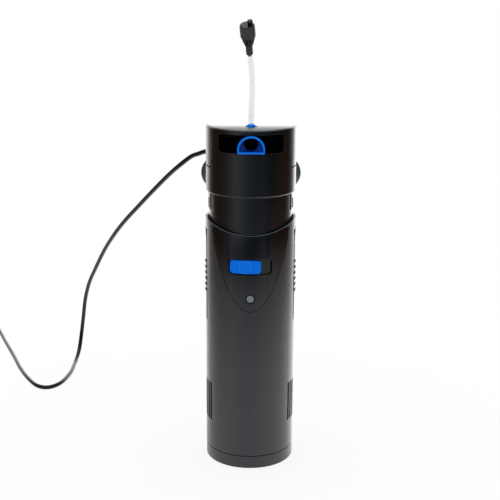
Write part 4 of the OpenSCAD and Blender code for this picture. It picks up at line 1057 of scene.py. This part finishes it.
# What polished faces mirror, by the direction round the object: angle from the front, red, green, blue.
# The studio is dim in front and at the sides, with a soft window at the front left, and bright behind.
AROUND = [
    (-138, 1.55, 1.50, 1.46),
    (-126, 0.44, 0.37, 0.33),
    (-112, 0.10, 0.06, 0.035),
    (-92, 0.11, 0.06, 0.03),
    (-75, 0.13, 0.10, 0.08),
    (-57, 0.30, 0.29, 0.30),
    (-45, 0.56, 0.58, 0.64),
    (-30, 0.54, 0.62, 0.72),
    (-15, 0.26, 0.33, 0.42),
    (2, 0.14, 0.20, 0.27),
    (18, 0.07, 0.13, 0.20),
    (31, 0.10, 0.15, 0.20),
    (44, 0.02, 0.03, 0.04),
    (57, 0.0, 0.0, 0.005),
    (69, 0.08, 0.04, 0.02),
    (85, 0.14, 0.06, 0.02),
    (100, 0.10, 0.03, 0.0),
    (114, 0.12, 0.07, 0.04),
    (125, 0.36, 0.31, 0.28),
    (134, 1.10, 1.02, 0.98),
    (146, 3.6, 3.5, 3.45),
]
# Behind, above the horizon and on the paper far from the object
ROOM = [(-180, 3.0, 3.0, 3.0), (-160, 2.2, 2.2, 2.2), *AROUND, (162, 2.8, 2.8, 2.8), (180, 3.0, 3.0, 3.0)]
FAR_PAPER = [(-180, 0.7, 0.7, 0.7), (-164, 1.5, 1.5, 1.5), (-150, 2.6, 2.6, 2.6), *AROUND]
FAR_PAPER += [(157, 3.4, 3.4, 3.4), (166, 1.6, 1.6, 1.6), (180, 0.7, 0.7, 0.7)]
# Paper at middle distance, which the polished panel mirrors, with the edges of window and camera
MIDDLE_PAPER = [
    (-180, 0.9, 0.9, 0.9),
    (-164, 1.8, 1.8, 1.8),
    (-150, 2.8, 2.8, 2.8),
    (-138, 1.70, 1.65, 1.60),
    (-126, 0.52, 0.46, 0.42),
    (-112, 0.20, 0.14, 0.10),
    (-95, 0.15, 0.07, 0.03),
    (-75, 0.10, 0.07, 0.05),
    (-66, 0.18, 0.14, 0.13),
    (-57, 0.10, 0.11, 0.17),
    (-50, 0.38, 0.37, 0.44),
    (-44, 0.22, 0.25, 0.33),
    (-33, 0.155, 0.18, 0.25),
    (-20, 0.13, 0.14, 0.20),
    (-11, 0.02, 0.06, 0.11),
    (5, 0.0, 0.02, 0.06),
    (14, 0.02, 0.05, 0.10),
    (24, 0.16, 0.17, 0.20),
    (34, 0.26, 0.26, 0.30),
    (44, 0.07, 0.10, 0.16),
    (52, 0.29, 0.26, 0.29),
    (62, 0.26, 0.22, 0.20),
    (72, 0.23, 0.12, 0.08),
    (95, 0.20, 0.13, 0.09),
    (106, 0.24, 0.18, 0.15),
    (114, 0.50, 0.44, 0.40),
    (134, 1.40, 1.30, 1.25),
    (146, 3.4, 3.3, 3.25),
    (164, 1.9, 1.9, 1.9),
    (180, 0.9, 0.9, 0.9),
]
# The same for the white paper near the object
PAPER = [
    (-180, 2.4, 2.4, 2.4),
    (-150, 2.1, 2.1, 2.1),
    (-120, 1.3, 1.3, 1.3),
    (-90, 1.15, 1.15, 1.15),
    (-50, 1.40, 1.40, 1.42),
    (0, 1.25, 1.28, 1.42),
    (50, 1.60, 1.58, 1.60),
    (90, 1.85, 1.82, 1.80),
    (110, 2.2, 2.1, 2.1),
    (135, 2.7, 2.65, 2.6),
    (180, 2.6, 2.6, 2.6),
]
BRIGHTEST = 4.0


def by_direction(tree, x, y, stops):
    """Colour by the angle round the object, from straight in front."""
    angle = calc(tree, "ARCTAN2", x, calc(tree, "MULTIPLY", y, -1.0))
    share = tree.nodes.new("ShaderNodeMapRange")
    share.inputs["From Min"].default_value = -math.pi
    share.inputs["From Max"].default_value = math.pi
    tree.links.new(angle, share.inputs["Value"])
    table = tree.nodes.new("ShaderNodeValToRGB")
    elements = table.color_ramp.elements
    while len(elements) < len(stops):
        elements.new(1.0)
    for element, (degrees, *rgb) in zip(elements, stops):
        element.position = (degrees + 180) / 360
        element.color = (*[c / BRIGHTEST for c in rgb], 1)
    tree.links.new(share.outputs["Result"], table.inputs["Fac"])
    return table.outputs["Color"]


def seen_plainly(tree, path):
    """Camera rays, also those that go through glass."""
    node = tree.nodes.new("ShaderNodeMath")
    node.operation = "ADD"
    node.use_clamp = True
    tree.links.new(path.outputs["Is Camera Ray"], node.inputs[0])
    tree.links.new(path.outputs["Is Transmission Ray"], node.inputs[1])
    return node.outputs[0]


def glow(tree, kind, strength):
    node = tree.nodes.new(kind)
    node.inputs["Color"].default_value = (1, 1, 1, 1)
    node.inputs["Strength"].default_value = strength
    return node


def mix(tree, fac, low, high):
    node = tree.nodes.new("ShaderNodeMixShader")
    tree.links.new(fac, node.inputs["Fac"])
    tree.links.new(low, node.inputs[1])
    tree.links.new(high, node.inputs[2])
    return node.outputs[0]


def floor_material(name, share):
    """White paper: for the camera most of its white is its own, the rest is lit, so a soft shadow stays."""
    mat = bpy.data.materials.new(name)
    mat.use_nodes = True
    tree = mat.node_tree
    tree.nodes.clear()
    out = tree.nodes.new("ShaderNodeOutputMaterial")
    lit = tree.nodes.new("ShaderNodeBsdfDiffuse")
    lit.inputs["Color"].default_value = (0.8, 0.8, 0.8, 1)
    white = glow(tree, "ShaderNodeEmission", 1.0)
    coords = object_coords(tree)
    x, y, _ = split_axes(tree, coords)
    far = vector_calc(tree, "LENGTH", coords, None, "Value")
    middle, distant = by_direction(tree, x, y, MIDDLE_PAPER), by_direction(tree, x, y, FAR_PAPER)
    distant = blend_colours(tree, ease(tree, far, *PAPER_END), middle, distant)
    near = by_direction(tree, x, y, PAPER)
    shine = glow(tree, "ShaderNodeEmission", BRIGHTEST)
    tree.links.new(blend_colours(tree, ease(tree, far, *PAPER_REACH), near, distant), shine.inputs["Color"])
    path = tree.nodes.new("ShaderNodeLightPath")
    part = calc(tree, "MULTIPLY", seen_plainly(tree, path), ease(tree, far, *OWN_WHITE, share, 1.0))
    plain = mix(tree, part, lit.outputs[0], white.outputs[0])
    tree.links.new(mix(tree, path.outputs["Is Glossy Ray"], plain, shine.outputs[0]), out.inputs["Surface"])
    return mat


FLOOR_CORNERS = [(-4000, -3000, 0), (4000, -3000, 0), (4000, 6000, 0), (-4000, 6000, 0)]
floor = mesh_from("floor", FLOOR_CORNERS, [(0, 1, 2, 3)], False)
floor.data.materials.append(floor_material("floor_white", OWN_SHARE))

# The world: white for the camera, plain light on the object, and the room for polished faces to mirror
world = bpy.data.worlds.new("studio")
bpy.context.scene.world = world
world.use_nodes = True
wt = world.node_tree
wt.nodes.clear()
w_out = wt.nodes.new("ShaderNodeOutputWorld")
w_path = wt.nodes.new("ShaderNodeLightPath")
w_coord = wt.nodes.new("ShaderNodeTexCoord")
w_x, w_y, w_z = split_axes(wt, w_coord.outputs["Generated"])
w_room = by_direction(wt, w_x, w_y, ROOM)
w_sky = (*(c / BRIGHTEST for c in SKY_SHINE), 1)
w_mirror = glow(wt, "ShaderNodeBackground", BRIGHTEST)
wt.links.new(blend_colours(wt, ease(wt, w_z, *SKY_SLOPE), w_room, w_sky), w_mirror.inputs["Color"])
w_lit = glow(wt, "ShaderNodeBackground", AMBIENT)
w_seen = glow(wt, "ShaderNodeBackground", 1.0)
w_plain = mix(wt, w_path.outputs["Is Glossy Ray"], w_lit.outputs[0], w_mirror.outputs[0])
wt.links.new(mix(wt, seen_plainly(wt, w_path), w_plain, w_seen.outputs[0]), w_out.inputs["Surface"])


def softbox(name, place, aim, size, power):
    light = bpy.data.lights.new(name, "AREA")
    light.shape = "RECTANGLE"
    light.size, light.size_y = size
    light.energy = power
    obj = bpy.data.objects.new(name, light)
    bpy.context.scene.collection.objects.link(obj)
    obj.location = place
    obj.rotation_euler = (Vector(aim) - Vector(place)).to_track_quat("-Z", "Y").to_euler()


softbox("top_soft", place=(0, 0.3, 1.7), aim=(0, 0, 0.2), size=(1.4, 1.2), power=10)

bpy.context.scene.view_settings.view_transform = "Standard"
